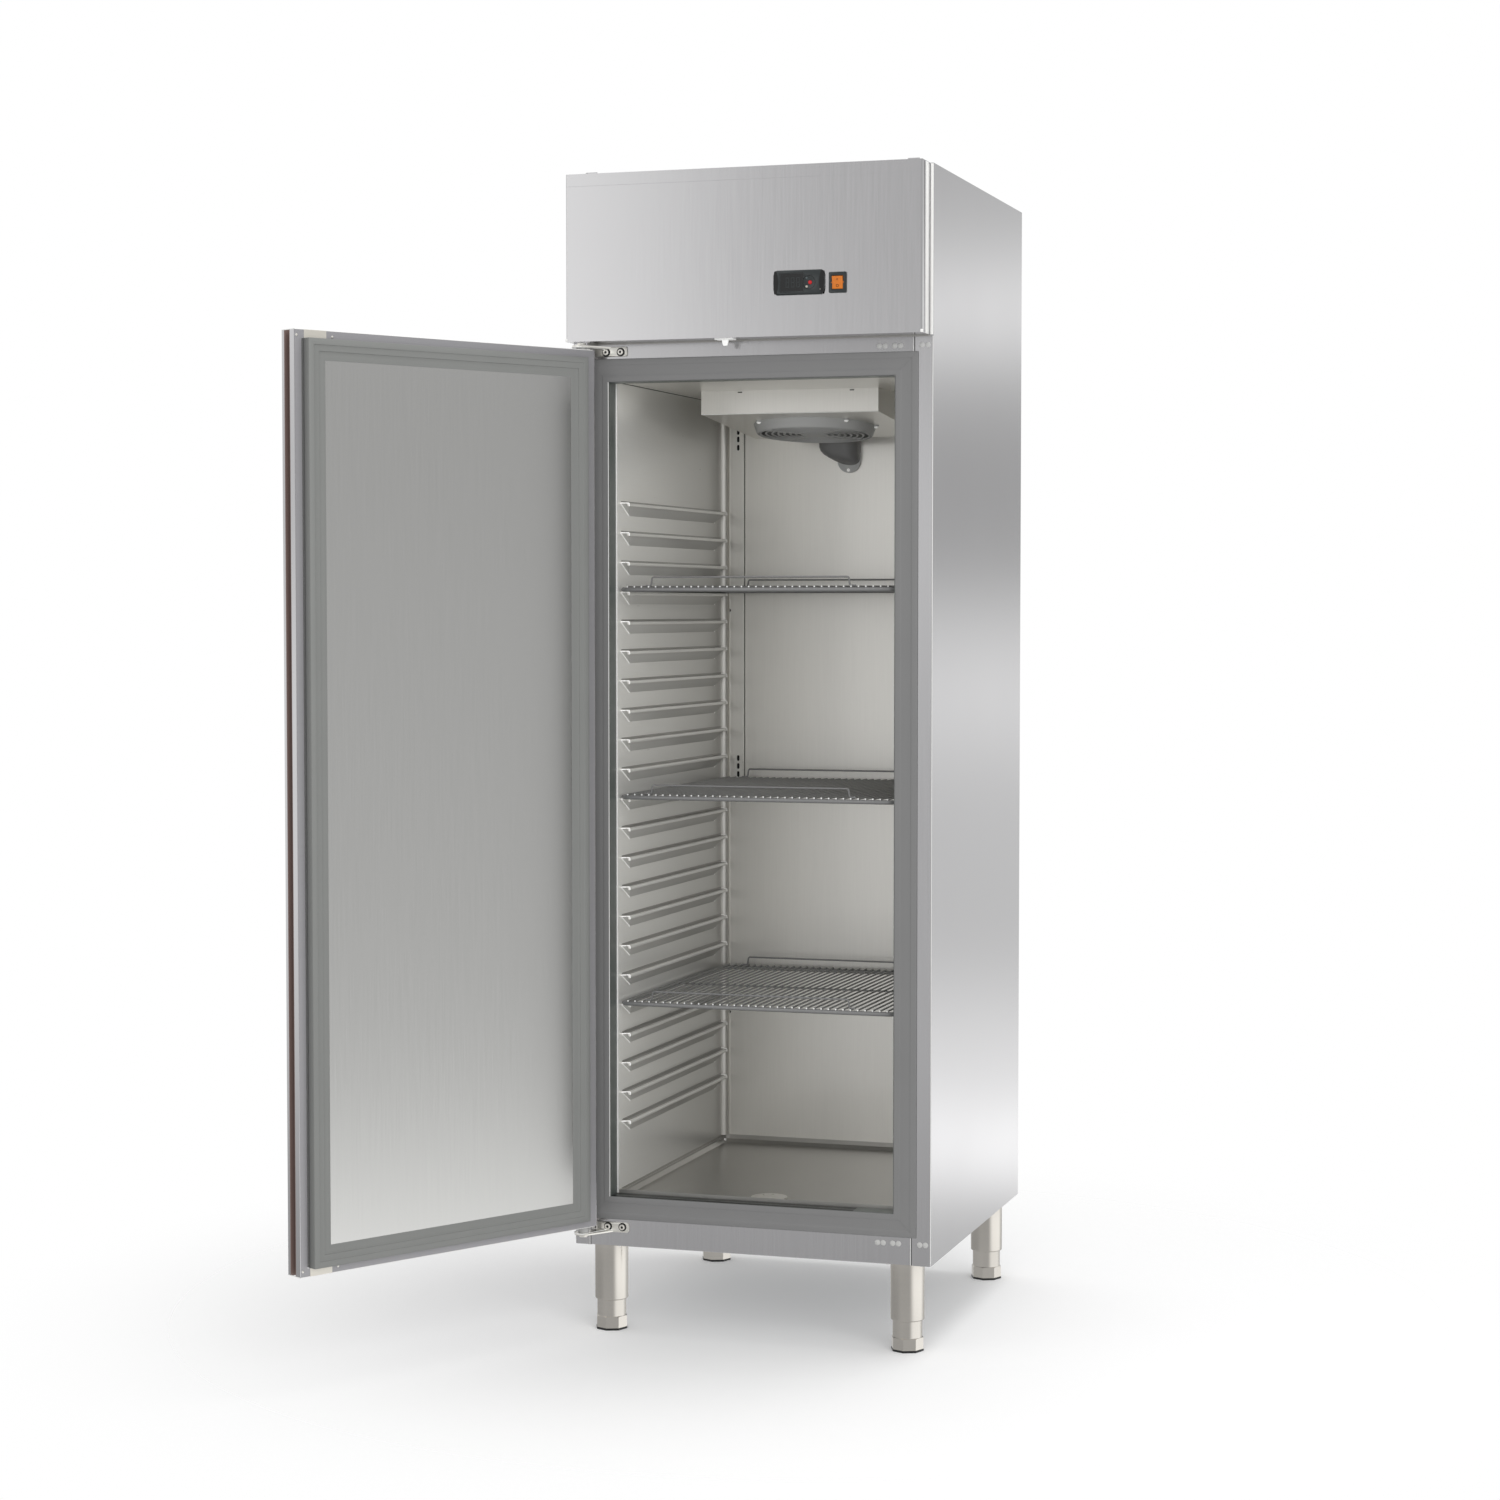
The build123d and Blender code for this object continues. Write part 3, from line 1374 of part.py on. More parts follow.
# Door sensor, fixed under the fascia's bottom fold over the door's top edge
with BuildPart() as door_sensor:
    with BuildSketch(level(z_deck)):
        with Locations((sensor_x, y_front + sensor_from_front)):
            Rectangle(sensor_plate_width, sensor_plate_depth)
    extrude(amount=-sensor_plate_height)
    with BuildSketch(level(z_deck)):
        with Locations((sensor_x, y_front + sensor_from_front)):
            Rectangle(sensor_tongue_width, sensor_tongue_depth)
    extrude(amount=-(sensor_plate_height + sensor_tongue_drop))
door_sensor.part.label = "door_sensor"
export_step(door_sensor.part, "parts/door_sensor.step")

# Door skin: one folded sheet from the inner flange round the hinge edge and the front to the grip
door_points = [
    (door_flange_hinge, door_thickness),
    (0, door_thickness),
    (0, 0),
    (door_width, 0),
    (door_width, grip_from_front),
    (door_width - grip_depth, grip_from_front),
    (door_width - grip_depth, grip_from_front + grip_width),
    (door_width, grip_from_front + grip_width),
    (door_width, door_thickness),
    (door_width - door_flange_free, door_thickness),
]
with BuildPart() as door_outer_skin:
    with BuildSketch(door_level(door_bottom + door_cap_thickness)):
        with BuildLine():
            Polyline(*door_points)
            offset(amount=door_sheet, side=Side.LEFT, kind=Kind.INTERSECTION)
        make_face()
    extrude(amount=door_height - 2 * door_cap_thickness)
door_outer_skin.part.label = "door_outer_skin"
export_step(door_outer_skin.part, "parts/door_outer_skin.step")

# Door foam, with the raised middle under the inner panel and a pocket for each hinge bush
panel_bottom = door_bottom + gasket_end_margin + panel_edge_inset
panel_top = door_top - gasket_end_margin - panel_edge_inset
panel_hinge_x = gasket_hinge_margin + panel_edge_inset
panel_free_x = door_width - gasket_free_margin - panel_edge_inset
panel_centre = ((panel_hinge_x + panel_free_x) / 2, (panel_bottom + panel_top) / 2)
panel_size = (panel_free_x - panel_hinge_x, panel_top - panel_bottom)
foam_back = door_thickness - door_sheet
with BuildPart() as door_foam:
    with BuildSketch(door_level(door_bottom + door_cap_thickness)) as foam_plan:
        with BuildLine():
            Polyline(*door_points[1:-1], close=True)
        make_face()
        offset(amount=-door_sheet, kind=Kind.INTERSECTION)
    extrude(amount=door_height - 2 * door_cap_thickness)
    with BuildSketch(door_upright(foam_back)):
        with Locations(panel_centre):
            Rectangle(*panel_size)
    with BuildSketch(door_upright(foam_back + panel_rise)):
        with Locations(panel_centre):
            Rectangle(panel_size[0] - 2 * panel_rise, panel_size[1] - 2 * panel_rise)
    loft(ruled=True)
    with BuildSketch(door_level(door_bottom)):
        with Locations((hinge_edge_distance, door_thickness / 2)):
            RegularPolygon(bush_radius, 16)
    extrude(amount=bush_depth, mode=Mode.SUBTRACT)
    with BuildSketch(door_level(door_top)):
        with Locations((hinge_edge_distance, door_thickness / 2)):
            RegularPolygon(bush_radius, 16)
    extrude(amount=-bush_depth, mode=Mode.SUBTRACT)
door_foam.part.label = "door_foam"
export_step(door_foam.part, "parts/door_foam.step")

# Caps over the top and bottom of the door, folded onto its inner face
with BuildPart() as door_end_caps:
    for cap_z, cap_rise, fold_z in [
        (door_bottom, door_cap_thickness, door_bottom),
        (door_top, -door_cap_thickness, door_top - door_cap_fold),
    ]:
        with BuildSketch(door_level(cap_z)):
            with BuildLine():
                Polyline(*door_points[1:-1], close=True)
            make_face()
            with Locations((hinge_edge_distance, door_thickness / 2)):
                RegularPolygon(bush_radius, 16, mode=Mode.SUBTRACT)
        extrude(amount=cap_rise)
        with BuildSketch(door_upright(foam_back)):
            with Locations((door_flange_hinge, fold_z)):
                Rectangle(
                    door_width - door_flange_hinge - door_flange_free,
                    door_cap_fold,
                    align=(Align.MIN, Align.MIN),
                )
        extrude(amount=-door_sheet)
door_end_caps.part.label = "door_end_caps"
export_step(door_end_caps.part, "parts/door_end_caps.step")

# Inner panel: a flat rim between the flanges and a raised middle
with BuildPart() as door_inner_panel:
    with BuildSketch(door_upright(foam_back)):
        with Locations((door_flange_hinge, door_bottom + door_cap_fold)):
            Rectangle(
                door_width - door_flange_hinge - door_flange_free,
                door_height - 2 * door_cap_fold,
                align=(Align.MIN, Align.MIN),
            )
    extrude(amount=-door_sheet)
    with BuildSketch(door_upright(door_thickness)):
        with Locations(panel_centre):
            Rectangle(*panel_size)
    with BuildSketch(door_upright(door_thickness + panel_rise)):
        with Locations(panel_centre):
            Rectangle(panel_size[0] - 2 * panel_rise, panel_size[1] - 2 * panel_rise)
    loft(ruled=True)
    with BuildSketch(door_upright(foam_back)):
        with Locations(panel_centre):
            Rectangle(*panel_size)
    with BuildSketch(door_upright(foam_back + panel_rise)):
        with Locations(panel_centre):
            Rectangle(panel_size[0] - 2 * panel_rise, panel_size[1] - 2 * panel_rise)
    loft(ruled=True, mode=Mode.SUBTRACT)
door_inner_panel.part.label = "door_inner_panel"
export_step(door_inner_panel.part, "parts/door_inner_panel.step")

# Gasket: a ring with a magnet band, two steps, and a lip that slopes down to the inner panel
gasket_height = door_stand_off - frame_thickness - gasket_gap
gasket_left = gasket_hinge_margin
gasket_right = door_width - gasket_free_margin
gasket_bottom = door_bottom + gasket_end_margin
gasket_top = door_top - gasket_end_margin
gasket_centre = ((gasket_left + gasket_right) / 2, (gasket_bottom + gasket_top) / 2)
gasket_x = gasket_right - gasket_left
gasket_z = gasket_top - gasket_bottom
with BuildPart() as door_gasket:
    with BuildSketch(door_upright(door_thickness)):
        with Locations(gasket_centre):
            Rectangle(gasket_x, gasket_z)
    extrude(amount=-gasket_height)
    with BuildSketch(door_upright(door_thickness + gasket_height)):
        with Locations(gasket_centre):
            Rectangle(gasket_x - 2 * gasket_band, gasket_z - 2 * gasket_band)
    extrude(amount=gasket_first_step, mode=Mode.SUBTRACT)
    with BuildSketch(door_upright(door_thickness + gasket_height)):
        with Locations(gasket_centre):
            Rectangle(gasket_x - 4 * gasket_band, gasket_z - 4 * gasket_band)
    extrude(amount=gasket_first_step + gasket_second_step, mode=Mode.SUBTRACT)
    with BuildSketch(
        door_upright(door_thickness + gasket_height - gasket_first_step - gasket_second_step)
    ):
        with Locations(gasket_centre):
            Rectangle(
                gasket_x - 2 * (gasket_width - gasket_bevel),
                gasket_z - 2 * (gasket_width - gasket_bevel),
            )
    with BuildSketch(door_upright(door_thickness + panel_rise)):
        with Locations(gasket_centre):
            Rectangle(gasket_x - 2 * gasket_width, gasket_z - 2 * gasket_width)
    loft(ruled=True, mode=Mode.SUBTRACT)
    with BuildSketch(door_upright(door_thickness)):
        with Locations(panel_centre):
            Rectangle(*panel_size)
    with BuildSketch(door_upright(door_thickness + panel_rise)):
        with Locations(panel_centre):
            Rectangle(panel_size[0] - 2 * panel_rise, panel_size[1] - 2 * panel_rise)
    loft(ruled=True, mode=Mode.SUBTRACT)
door_gasket.part.label = "door_gasket"
export_step(door_gasket.part, "parts/door_gasket.step")

# Grip: a channel that lines the groove down the door's free edge
with BuildPart() as grip_profile:
    with BuildSketch(door_level(door_bottom)):
        with BuildLine():
            Polyline(*door_points[4:8])
            offset(amount=grip_wall, side=Side.RIGHT, kind=Kind.INTERSECTION)
        make_face()
    extrude(amount=door_height)
grip_profile.part.label = "grip_profile"
export_step(grip_profile.part, "parts/grip_profile.step")

# Hinge bushes in the door's top and bottom, with collars that space it from the arms
top_collar = top_arm_z - door_top - fit_clearance
bottom_collar = door_bottom - bottom_arm_z - bracket_thickness - fit_clearance
with BuildPart() as hinge_bushes:
    with BuildSketch(door_level(door_top)):
        with Locations((hinge_edge_distance, door_thickness / 2)):
            RegularPolygon(bush_collar_radius, 16)
    extrude(amount=top_collar)
    with BuildSketch(door_level(door_bottom)):
        with Locations((hinge_edge_distance, door_thickness / 2)):
            RegularPolygon(bush_collar_radius, 16)
    extrude(amount=-bottom_collar)
    with BuildSketch(door_level(door_top)):
        with Locations((hinge_edge_distance, door_thickness / 2)):
            RegularPolygon(bush_radius, 16)
    extrude(amount=-bush_depth)
    with BuildSketch(door_level(door_bottom)):
        with Locations((hinge_edge_distance, door_thickness / 2)):
            RegularPolygon(bush_radius, 16)
    extrude(amount=bush_depth)
    with BuildSketch(door_level(door_top + top_collar)):
        with Locations((hinge_edge_distance, door_thickness / 2)):
            Circle(pin_radius + pin_clearance)
    extrude(amount=-(top_collar + bush_depth - bush_end), mode=Mode.SUBTRACT)
    with BuildSketch(door_level(door_bottom - bottom_collar)):
        with Locations((hinge_edge_distance, door_thickness / 2)):
            Circle(pin_radius + pin_clearance)
    extrude(amount=bottom_collar + bush_depth - bush_end, mode=Mode.SUBTRACT)
hinge_bushes.part.label = "hinge_bushes"
export_step(hinge_bushes.part, "parts/hinge_bushes.step")

# Tray on the deck for the refrigerating machine
tray_front_y = y_front + tray_from_front
tray_width = cabinet_width - 2 * tray_side_gap
tray_depth = cabinet_depth - tray_from_front - tray_rear_gap
tray_floor_z = z_deck + tray_sheet
with BuildPart() as machine_tray:
    with BuildSketch(level(z_deck)):
        with Locations((0, tray_front_y)):
            Rectangle(tray_width, tray_depth, align=(Align.CENTER, Align.MIN))
    extrude(amount=tray_height)
    offset(
        amount=-tray_sheet,
        openings=machine_tray.faces().sort_by(Axis.Z)[-1],
        kind=Kind.INTERSECTION,
    )
machine_tray.part.label = "machine_tray"
export_step(machine_tray.part, "parts/machine_tray.step")

# Condenser: end plates and fins cut from one block
condenser_y = y_front + condenser_from_front
condenser_pitch = condenser_width / condenser_fin_count
with BuildPart() as condenser_coil:
    with BuildSketch(level(tray_floor_z)):
        with Locations((condenser_x, condenser_y)):
            Rectangle(condenser_width, condenser_depth, align=(Align.CENTER, Align.MIN))
    extrude(amount=condenser_height)
    with BuildSketch(upright(condenser_y)):
        with Locations((condenser_x, tray_floor_z + condenser_height / 2)):
            with GridLocations(condenser_pitch, 0, condenser_fin_count - 1, 1):
                Rectangle(
                    condenser_pitch - condenser_fin, condenser_height - 2 * condenser_end_plate
                )
    extrude(amount=-(condenser_depth - condenser_back), mode=Mode.SUBTRACT)
condenser_coil.part.label = "condenser_coil"
export_step(condenser_coil.part, "parts/condenser_coil.step")

# Shroud behind the condenser, with a round opening for the fan
shroud_y = condenser_y + condenser_depth
shroud_rear_y = shroud_y + shroud_depth
condenser_fan_z = tray_floor_z + condenser_height / 2
with BuildPart() as condenser_shroud:
    with BuildSketch(level(tray_floor_z)):
        with Locations((condenser_x, shroud_y)):
            Rectangle(condenser_width, shroud_depth, align=(Align.CENTER, Align.MIN))
    extrude(amount=condenser_height)
    offset(
        amount=-shroud_sheet,
        openings=condenser_shroud.faces().sort_by(Axis.Y)[0],
        kind=Kind.INTERSECTION,
    )
    with BuildSketch(upright(shroud_rear_y)):
        with Locations((condenser_x, condenser_fan_z)):
            Circle(condenser_fan_radius + condenser_fan_gap)
    extrude(amount=2 * shroud_sheet, mode=Mode.SUBTRACT)
condenser_shroud.part.label = "condenser_shroud"
export_step(condenser_shroud.part, "parts/condenser_shroud.step")

# Condenser fan motor on a bar across the shroud's opening
motor_front_y = shroud_rear_y + motor_standoff
bar_length = 2 * (condenser_fan_radius + condenser_fan_gap + motor_bar_width)
with BuildPart() as condenser_fan_motor:
    with BuildSketch(upright(motor_front_y)):
        with Locations((condenser_x, condenser_fan_z)):
            RegularPolygon(condenser_motor_radius, hidden_sides)
    extrude(amount=-condenser_motor_length)
    with BuildSketch(upright(motor_front_y + motor_bar_setback)):
        with Locations((condenser_x, condenser_fan_z)):
            Rectangle(bar_length, motor_bar_width)
    extrude(amount=-motor_bar_thickness)
    with BuildSketch(upright(shroud_rear_y)):
        with Locations((condenser_x, condenser_fan_z)):
            with GridLocations(bar_length - motor_bar_width, 0, 2, 1):
                Rectangle(motor_bar_width, motor_bar_width)
    extrude(amount=-(motor_standoff + motor_bar_setback))
    with BuildSketch(upright(motor_front_y)):
        with Locations((condenser_x, condenser_fan_z)):
            Circle(fan_shaft_radius)
    extrude(amount=fan_hub_gap + fan_hub_height - fan_shaft_end)
condenser_fan_motor.part.label = "condenser_fan_motor"
export_step(condenser_fan_motor.part, "parts/condenser_fan_motor.step")

condenser_rotor = fan_rotor(
    Plane(
        origin=(condenser_x, motor_front_y - fan_hub_gap, condenser_fan_z),
        x_dir=(1, 0, 0),
        z_dir=(0, -1, 0),
    ),
    condenser_fan_radius,
    condenser_blade_chord,
    condenser_blade_pitch,
)
condenser_rotor.label = "condenser_fan_blades"
export_step(condenser_rotor, "parts/condenser_fan_blades.step")

# Hermetic compressor: a domed can with a welded seam, on a plate with four rubber feet
compressor_y = y_rear - compressor_from_rear
compressor_z = tray_floor_z + compressor_foot_height
with BuildPart() as compressor:
    with BuildSketch(level(compressor_z)):
        with Locations((compressor_x, compressor_y)):
            Rectangle(compressor_plate_width, compressor_plate_depth)
    extrude(amount=compressor_plate)
    with BuildSketch(level(tray_floor_z)):
        with Locations((compressor_x, compressor_y)):
            with GridLocations(
                compressor_plate_width - 2 * compressor_foot_radius,
                compressor_plate_depth - 2 * compressor_foot_radius,
                2,
                2,
            ):
                RegularPolygon(compressor_foot_radius, 8)
    extrude(amount=compressor_foot_height)
    with BuildSketch(level(compressor_z + compressor_plate)):
        with Locations((compressor_x, compressor_y)):
            RegularPolygon(compressor_radius, hidden_sides)
    extrude(amount=compressor_height)
    chamfer(compressor.edges().group_by(Axis.Z)[-1], compressor_dome)
    with BuildSketch(level(compressor_z + compressor_plate + compressor_height / 2)):
        with Locations((compressor_x, compressor_y)):
            RegularPolygon(compressor_radius + compressor_seam, hidden_sides)
    extrude(amount=compressor_seam / 2)
compressor.part.label = "compressor"
export_step(compressor.part, "parts/compressor.step")

# Pipe from the compressor to the condenser, with the filter drier in it
line_z = compressor_z + compressor_plate + compressor_height * line_rise_share
line_end_y = condenser_y + condenser_depth / 2
line_x = condenser_x + condenser_width / 2 + line_reach
with BuildPart() as refrigerant_line:
    with BuildLine():
        line_path = Polyline(
            (compressor_x, compressor_y - compressor_radius, line_z),
            (compressor_x, compressor_y - compressor_radius - line_reach, line_z),
            (line_x, compressor_y - compressor_radius - line_reach, line_z),
            (line_x, line_end_y, line_z),
            (condenser_x + condenser_width / 2, line_end_y, line_z),
        )
    with BuildSketch(Plane(origin=line_path @ 0, z_dir=line_path % 0)):
        RegularPolygon(line_radius, 8)
    sweep(transition=Transition.RIGHT)
    with BuildSketch(upright((line_end_y + compressor_y - compressor_radius - line_reach) / 2)):
        with Locations((line_x, line_z)):
            RegularPolygon(drier_radius, 12)
    extrude(amount=drier_length / 2, both=True)
refrigerant_line.part.label = "refrigerant_line"
export_step(refrigerant_line.part, "parts/refrigerant_line.step")

# Electrical box at the rear, with the inlet for the mains lead facing the louvres
box_x = x_left + electric_box_left
box_y = rear_panel_y - electric_box_from_rear
with BuildPart() as electrical_box:
    with BuildSketch(level(tray_floor_z)):
        with Locations((box_x, box_y)):
            Rectangle(electric_box_width, electric_box_depth, align=(Align.CENTER, Align.MAX))
    extrude(amount=electric_box_height)
    with BuildSketch(upright(box_y)):
        with Locations((box_x, tray_floor_z + electric_box_height / 2)):
            Rectangle(inlet_width, inlet_height)
            Rectangle(inlet_width - 2 * inlet_wall, inlet_height - 2 * inlet_wall, mode=Mode.SUBTRACT)
    extrude(amount=-inlet_depth)
electrical_box.part.label = "electrical_box"
export_step(electrical_box.part, "parts/electrical_box.step")
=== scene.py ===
"""Upright refrigerator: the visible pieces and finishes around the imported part.

The file is laid out as an add-on and run as a script. Lengths are in metres, in the part's own frame:
x to the right seen from the front, y to the rear, z up, with the origin on the floor.
"""

import json
from math import cos, pi, radians, sin, tan

import bmesh
import bpy
from bpy.props import FloatProperty, FloatVectorProperty, IntProperty, PointerProperty
from mathutils import Matrix, Vector
from mathutils.bvhtree import BVHTree


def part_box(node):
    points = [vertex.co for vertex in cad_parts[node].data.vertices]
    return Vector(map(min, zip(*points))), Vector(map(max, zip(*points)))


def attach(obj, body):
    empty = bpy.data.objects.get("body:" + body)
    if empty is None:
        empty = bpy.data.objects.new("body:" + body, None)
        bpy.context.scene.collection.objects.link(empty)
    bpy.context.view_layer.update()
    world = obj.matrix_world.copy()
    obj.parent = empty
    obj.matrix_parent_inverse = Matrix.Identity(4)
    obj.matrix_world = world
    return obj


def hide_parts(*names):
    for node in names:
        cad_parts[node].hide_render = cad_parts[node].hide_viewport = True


bl_info = {
    "name": "Upright Refrigerator",
    "version": (1, 0, 0),
    "blender": (4, 5, 0),
    "location": "3D View > Sidebar > Refrigerator",
    "description": "Dresses the packed refrigerator with its visible pieces, finishes and studio",
    "category": "Object",
}

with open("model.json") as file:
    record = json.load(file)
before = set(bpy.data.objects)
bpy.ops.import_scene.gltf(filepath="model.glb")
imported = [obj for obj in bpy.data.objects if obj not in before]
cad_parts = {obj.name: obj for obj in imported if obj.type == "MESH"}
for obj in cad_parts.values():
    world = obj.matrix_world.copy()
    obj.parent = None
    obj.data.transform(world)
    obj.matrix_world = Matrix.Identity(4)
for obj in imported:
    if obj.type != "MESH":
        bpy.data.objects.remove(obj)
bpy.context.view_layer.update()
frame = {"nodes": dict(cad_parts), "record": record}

MM = 0.001
SIDES = (-1, 1)
FORWARD = (0, -1, 0)
DOWN = (0, 0, -1)

# What polished metal shows of the studio: brightness by the height that a reflection points at
FRONT_WALL = (
    (-0.5, 0.5), (-0.25, 0.42), (-0.2, 0.34), (-0.165, 0.68), (-0.063, 0.5), (0.035, 0.9),
    (0.085, 0.52), (0.15, 0.52), (0.5, 0.7), (1.0, 0.7),
)
REAR_WALL = (
    (-0.5, 0.5), (-0.22, 0.6), (-0.197, 0.5), (-0.178, 1.55), (-0.155, 1.0), (-0.14, 0.95), (-0.11, 0.66),
    (-0.06, 0.7), (-0.028, 0.96), (-0.01, 0.82), (0.015, 0.46), (0.045, 0.42), (0.07, 0.52),
    (0.095, 1.14), (0.12, 0.66), (0.14, 0.54), (0.3, 0.7), (1.0, 0.7),
)
RIGHT_WALL = (
    (-0.5, 1.0), (-0.26, 1.35), (-0.222, 1.4), (-0.2, 1.1), (-0.19, 0.85), (-0.178, 0.98), (-0.165, 0.62),
    (-0.1, 0.6), (0.0, 0.56), (0.08, 0.5), (0.3, 0.8), (1.0, 0.9),
)
LEFT_WALL = (
    (-0.5, 0.4), (-0.25, 0.36), (-0.19, 0.4), (-0.12, 0.9), (-0.02, 1.0), (0.04, 0.6), (0.1, 1.0),
    (0.2, 0.8), (1.0, 0.9),
)
# How far the bright left end of the front wall shows, by the reflection's direction across
FRONT_LEFT_WALL = ((-0.6, 0.4), (-0.37, 0.72), (-0.33, 0.62), (-0.314, 0.0), (-0.2, 0.0))

# Brushed grain in cycles per metre along x, y and z, long in the direction that each is named for
UPRIGHT_GRAIN = (700.0, 700.0, 9.0)
LINER_GRAIN = (500.0, 500.0, 12.0)
DEEP_GRAIN = (500.0, 12.0, 500.0)
LEVEL_GRAIN = (9.0, 9.0, 500.0)
GRAIN_DEPTH = 0.003 * MM

# Faces of the cabinet that the small pieces sit on, as part.py places them
BODY_FRONT = -317.5 * MM
BODY_BOTTOM = 145.0 * MM
BODY_SIDE = 300.0 * MM
DECK_TOP = 1613.5 * MM
BODY_TOP = 1880.0 * MM
FRAME_FRONT = -320.5 * MM
LINER_SIDE = 237.1 * MM
LINER_FRONT = -283.5 * MM
LINER_REAR = 271.2 * MM
LINER_FLOOR = 218.3 * MM
LINER_CEILING = 1553.8 * MM
COVE = 12.0 * MM
FASCIA_FRONT = -366.0 * MM
FASCIA_SIDE = 294.4 * MM

# The door's own directions at rest, and the corner that its lengths start from
DOOR_ACROSS = Vector((-cos(radians(60)), -sin(radians(60)), 0))
DOOR_INWARD = Vector((sin(radians(60)), -cos(radians(60)), 0))
HINGE_AXIS = Vector((-274.0 * MM, -350.0 * MM, 0))
DOOR_CORNER = HINGE_AXIS - DOOR_ACROSS * 14.0 * MM - DOOR_INWARD * 16.0 * MM
DOOR_WIDTH = 576.0 * MM
DOOR_DEPTH = 32.0 * MM
DOOR_BOTTOM = 181.8 * MM
DOOR_TOP = 1600.9 * MM


# Shader nodes


class Socket:
    """One output of a shader node; arithmetic on it adds Math nodes."""

    def __init__(self, tree, link):
        self.tree = tree
        self.link = link

    def _math(self, operation, first, second):
        return add_node(self.tree, "ShaderNodeMath", {"operation": operation}, {0: first, 1: second})

    def __add__(self, other):
        return self._math("ADD", self, other)

    def __radd__(self, other):
        return self._math("ADD", other, self)

    def __mul__(self, other):
        return self._math("MULTIPLY", self, other)

    def __rmul__(self, other):
        return self._math("MULTIPLY", other, self)


def add_node(tree, kind, settings=None, inputs=None, output=0):
    """Adds a node, its settings first and then its values and links, and returns one output."""
    made = tree.nodes.new(kind)
    for key, value in (settings or {}).items():
        if key == "stops":
            ramp = made.color_ramp
            for _ in range(len(value) - 2):
                ramp.elements.new(0.5)
            for element, (place, colour) in zip(ramp.elements, value):
                element.position = place
                element.color = (*colour, 1.0)
        else:
            setattr(made, key, value)
    for key, value in (inputs or {}).items():
        if isinstance(value, Socket):
            tree.links.new(value.link, made.inputs[key])
        else:
            made.inputs[key].default_value = value
    return Socket(tree, made.outputs[output]) if made.outputs else None


def mix_colours(tree, factor, first, second):
    """Goes from the first colour to the second as the factor goes from 0 to 1."""
    first = first if isinstance(first, Socket) else (*first, 1.0)
    second = second if isinstance(second, Socket) else (*second, 1.0)
    inputs = {0: factor, 6: first, 7: second}
    return add_node(tree, "ShaderNodeMix", {"data_type": "RGBA"}, inputs, 2)


def linear(colour):
    """A colour as a screen shows it, turned into the shader's linear values."""
    return tuple(((channel + 0.055) / 1.055) ** 2.4 for channel in colour)


def shade(colour, factor):
    """A colour made darker or lighter by a factor."""
    return tuple(min(1.0, channel * factor) for channel in colour)


def shades(tree, factor, colour, dark, light):
    """Goes from a darker to a lighter shade of a colour."""
    return mix_colours(tree, factor, shade(colour, dark), shade(colour, light))


def new_finish(name):
    """An empty material and its node tree."""
    material = bpy.data.materials.new(name)
    material.use_nodes = True
    material.node_tree.nodes.clear()
    return material, material.node_tree


def own_place(tree):
    """The place on a piece, in the part's own frame."""
    return add_node(tree, "ShaderNodeTexCoord", output="Object")


def axis_of(tree, vector, axis):
    """One axis of a vector: X, Y or Z."""
    return add_node(tree, "ShaderNodeSeparateXYZ", inputs={0: vector}, output=axis)


def noise(tree, stretch, detail=2.0, roughness=0.5):
    """Noise in the part's own frame, in cycles per metre along all axes or along x, y and z."""
    if isinstance(stretch, float):
        stretch = (stretch,) * 3
    mapped = add_node(tree, "ShaderNodeMapping", inputs={"Vector": own_place(tree), "Scale": stretch})
    inputs = {"Vector": mapped, "Scale": 1.0, "Detail": detail, "Roughness": roughness}
    return add_node(tree, "ShaderNodeTexNoise", inputs=inputs)


def ramp_between(tree, value, low, high, course="SMOOTHSTEP"):
    """Goes from 0 to 1 as a value goes from low to high, smoothly or in a straight line."""
    inputs = {"Value": value, "From Min": low, "From Max": high}
    return add_node(tree, "ShaderNodeMapRange", {"interpolation_type": course}, inputs)


def bands(tree, value, levels):
    """Grey levels at given values, with straight runs between them."""
    low, high = levels[0][0], levels[-1][0]
    place = ramp_between(tree, value, low, high, "LINEAR")
    stops = [((at - low) / (high - low), (level, level, level)) for at, level in levels]
    return add_node(tree, "ShaderNodeValToRGB", {"stops": stops}, {0: place})


def finish_surface(material, tree, inputs, bump=None, bump_depth=0.0):
    """Puts the principled shader and its output at the end of a finish."""
    if bump is not None:
        settings = {"Strength": 1.0, "Distance": bump_depth, "Height": bump}
        inputs["Normal"] = add_node(tree, "ShaderNodeBump", inputs=settings)
    shader = add_node(tree, "ShaderNodeBsdfPrincipled", inputs=inputs)
    add_node(tree, "ShaderNodeOutputMaterial", inputs={"Surface": shader})
    return material


def brushed_metal(name, colour, roughness, grain, depth=GRAIN_DEPTH, metallic=1.0, cloud=3.0):
    """Sheet metal with a fine grain along one axis and faint clouds of wiping marks."""
    material, tree = new_finish(name)
    streaks = noise(tree, grain, detail=3.0, roughness=0.6)
    clouds = noise(tree, cloud, detail=3.0)
    inputs = {
        "Base Color": shades(tree, streaks, colour, 0.96, 1.04),
        "Metallic": metallic,
        "Roughness": streaks * 0.06 + clouds * 0.04 + (roughness - 0.05),
    }
    return finish_surface(material, tree, inputs, streaks, depth)


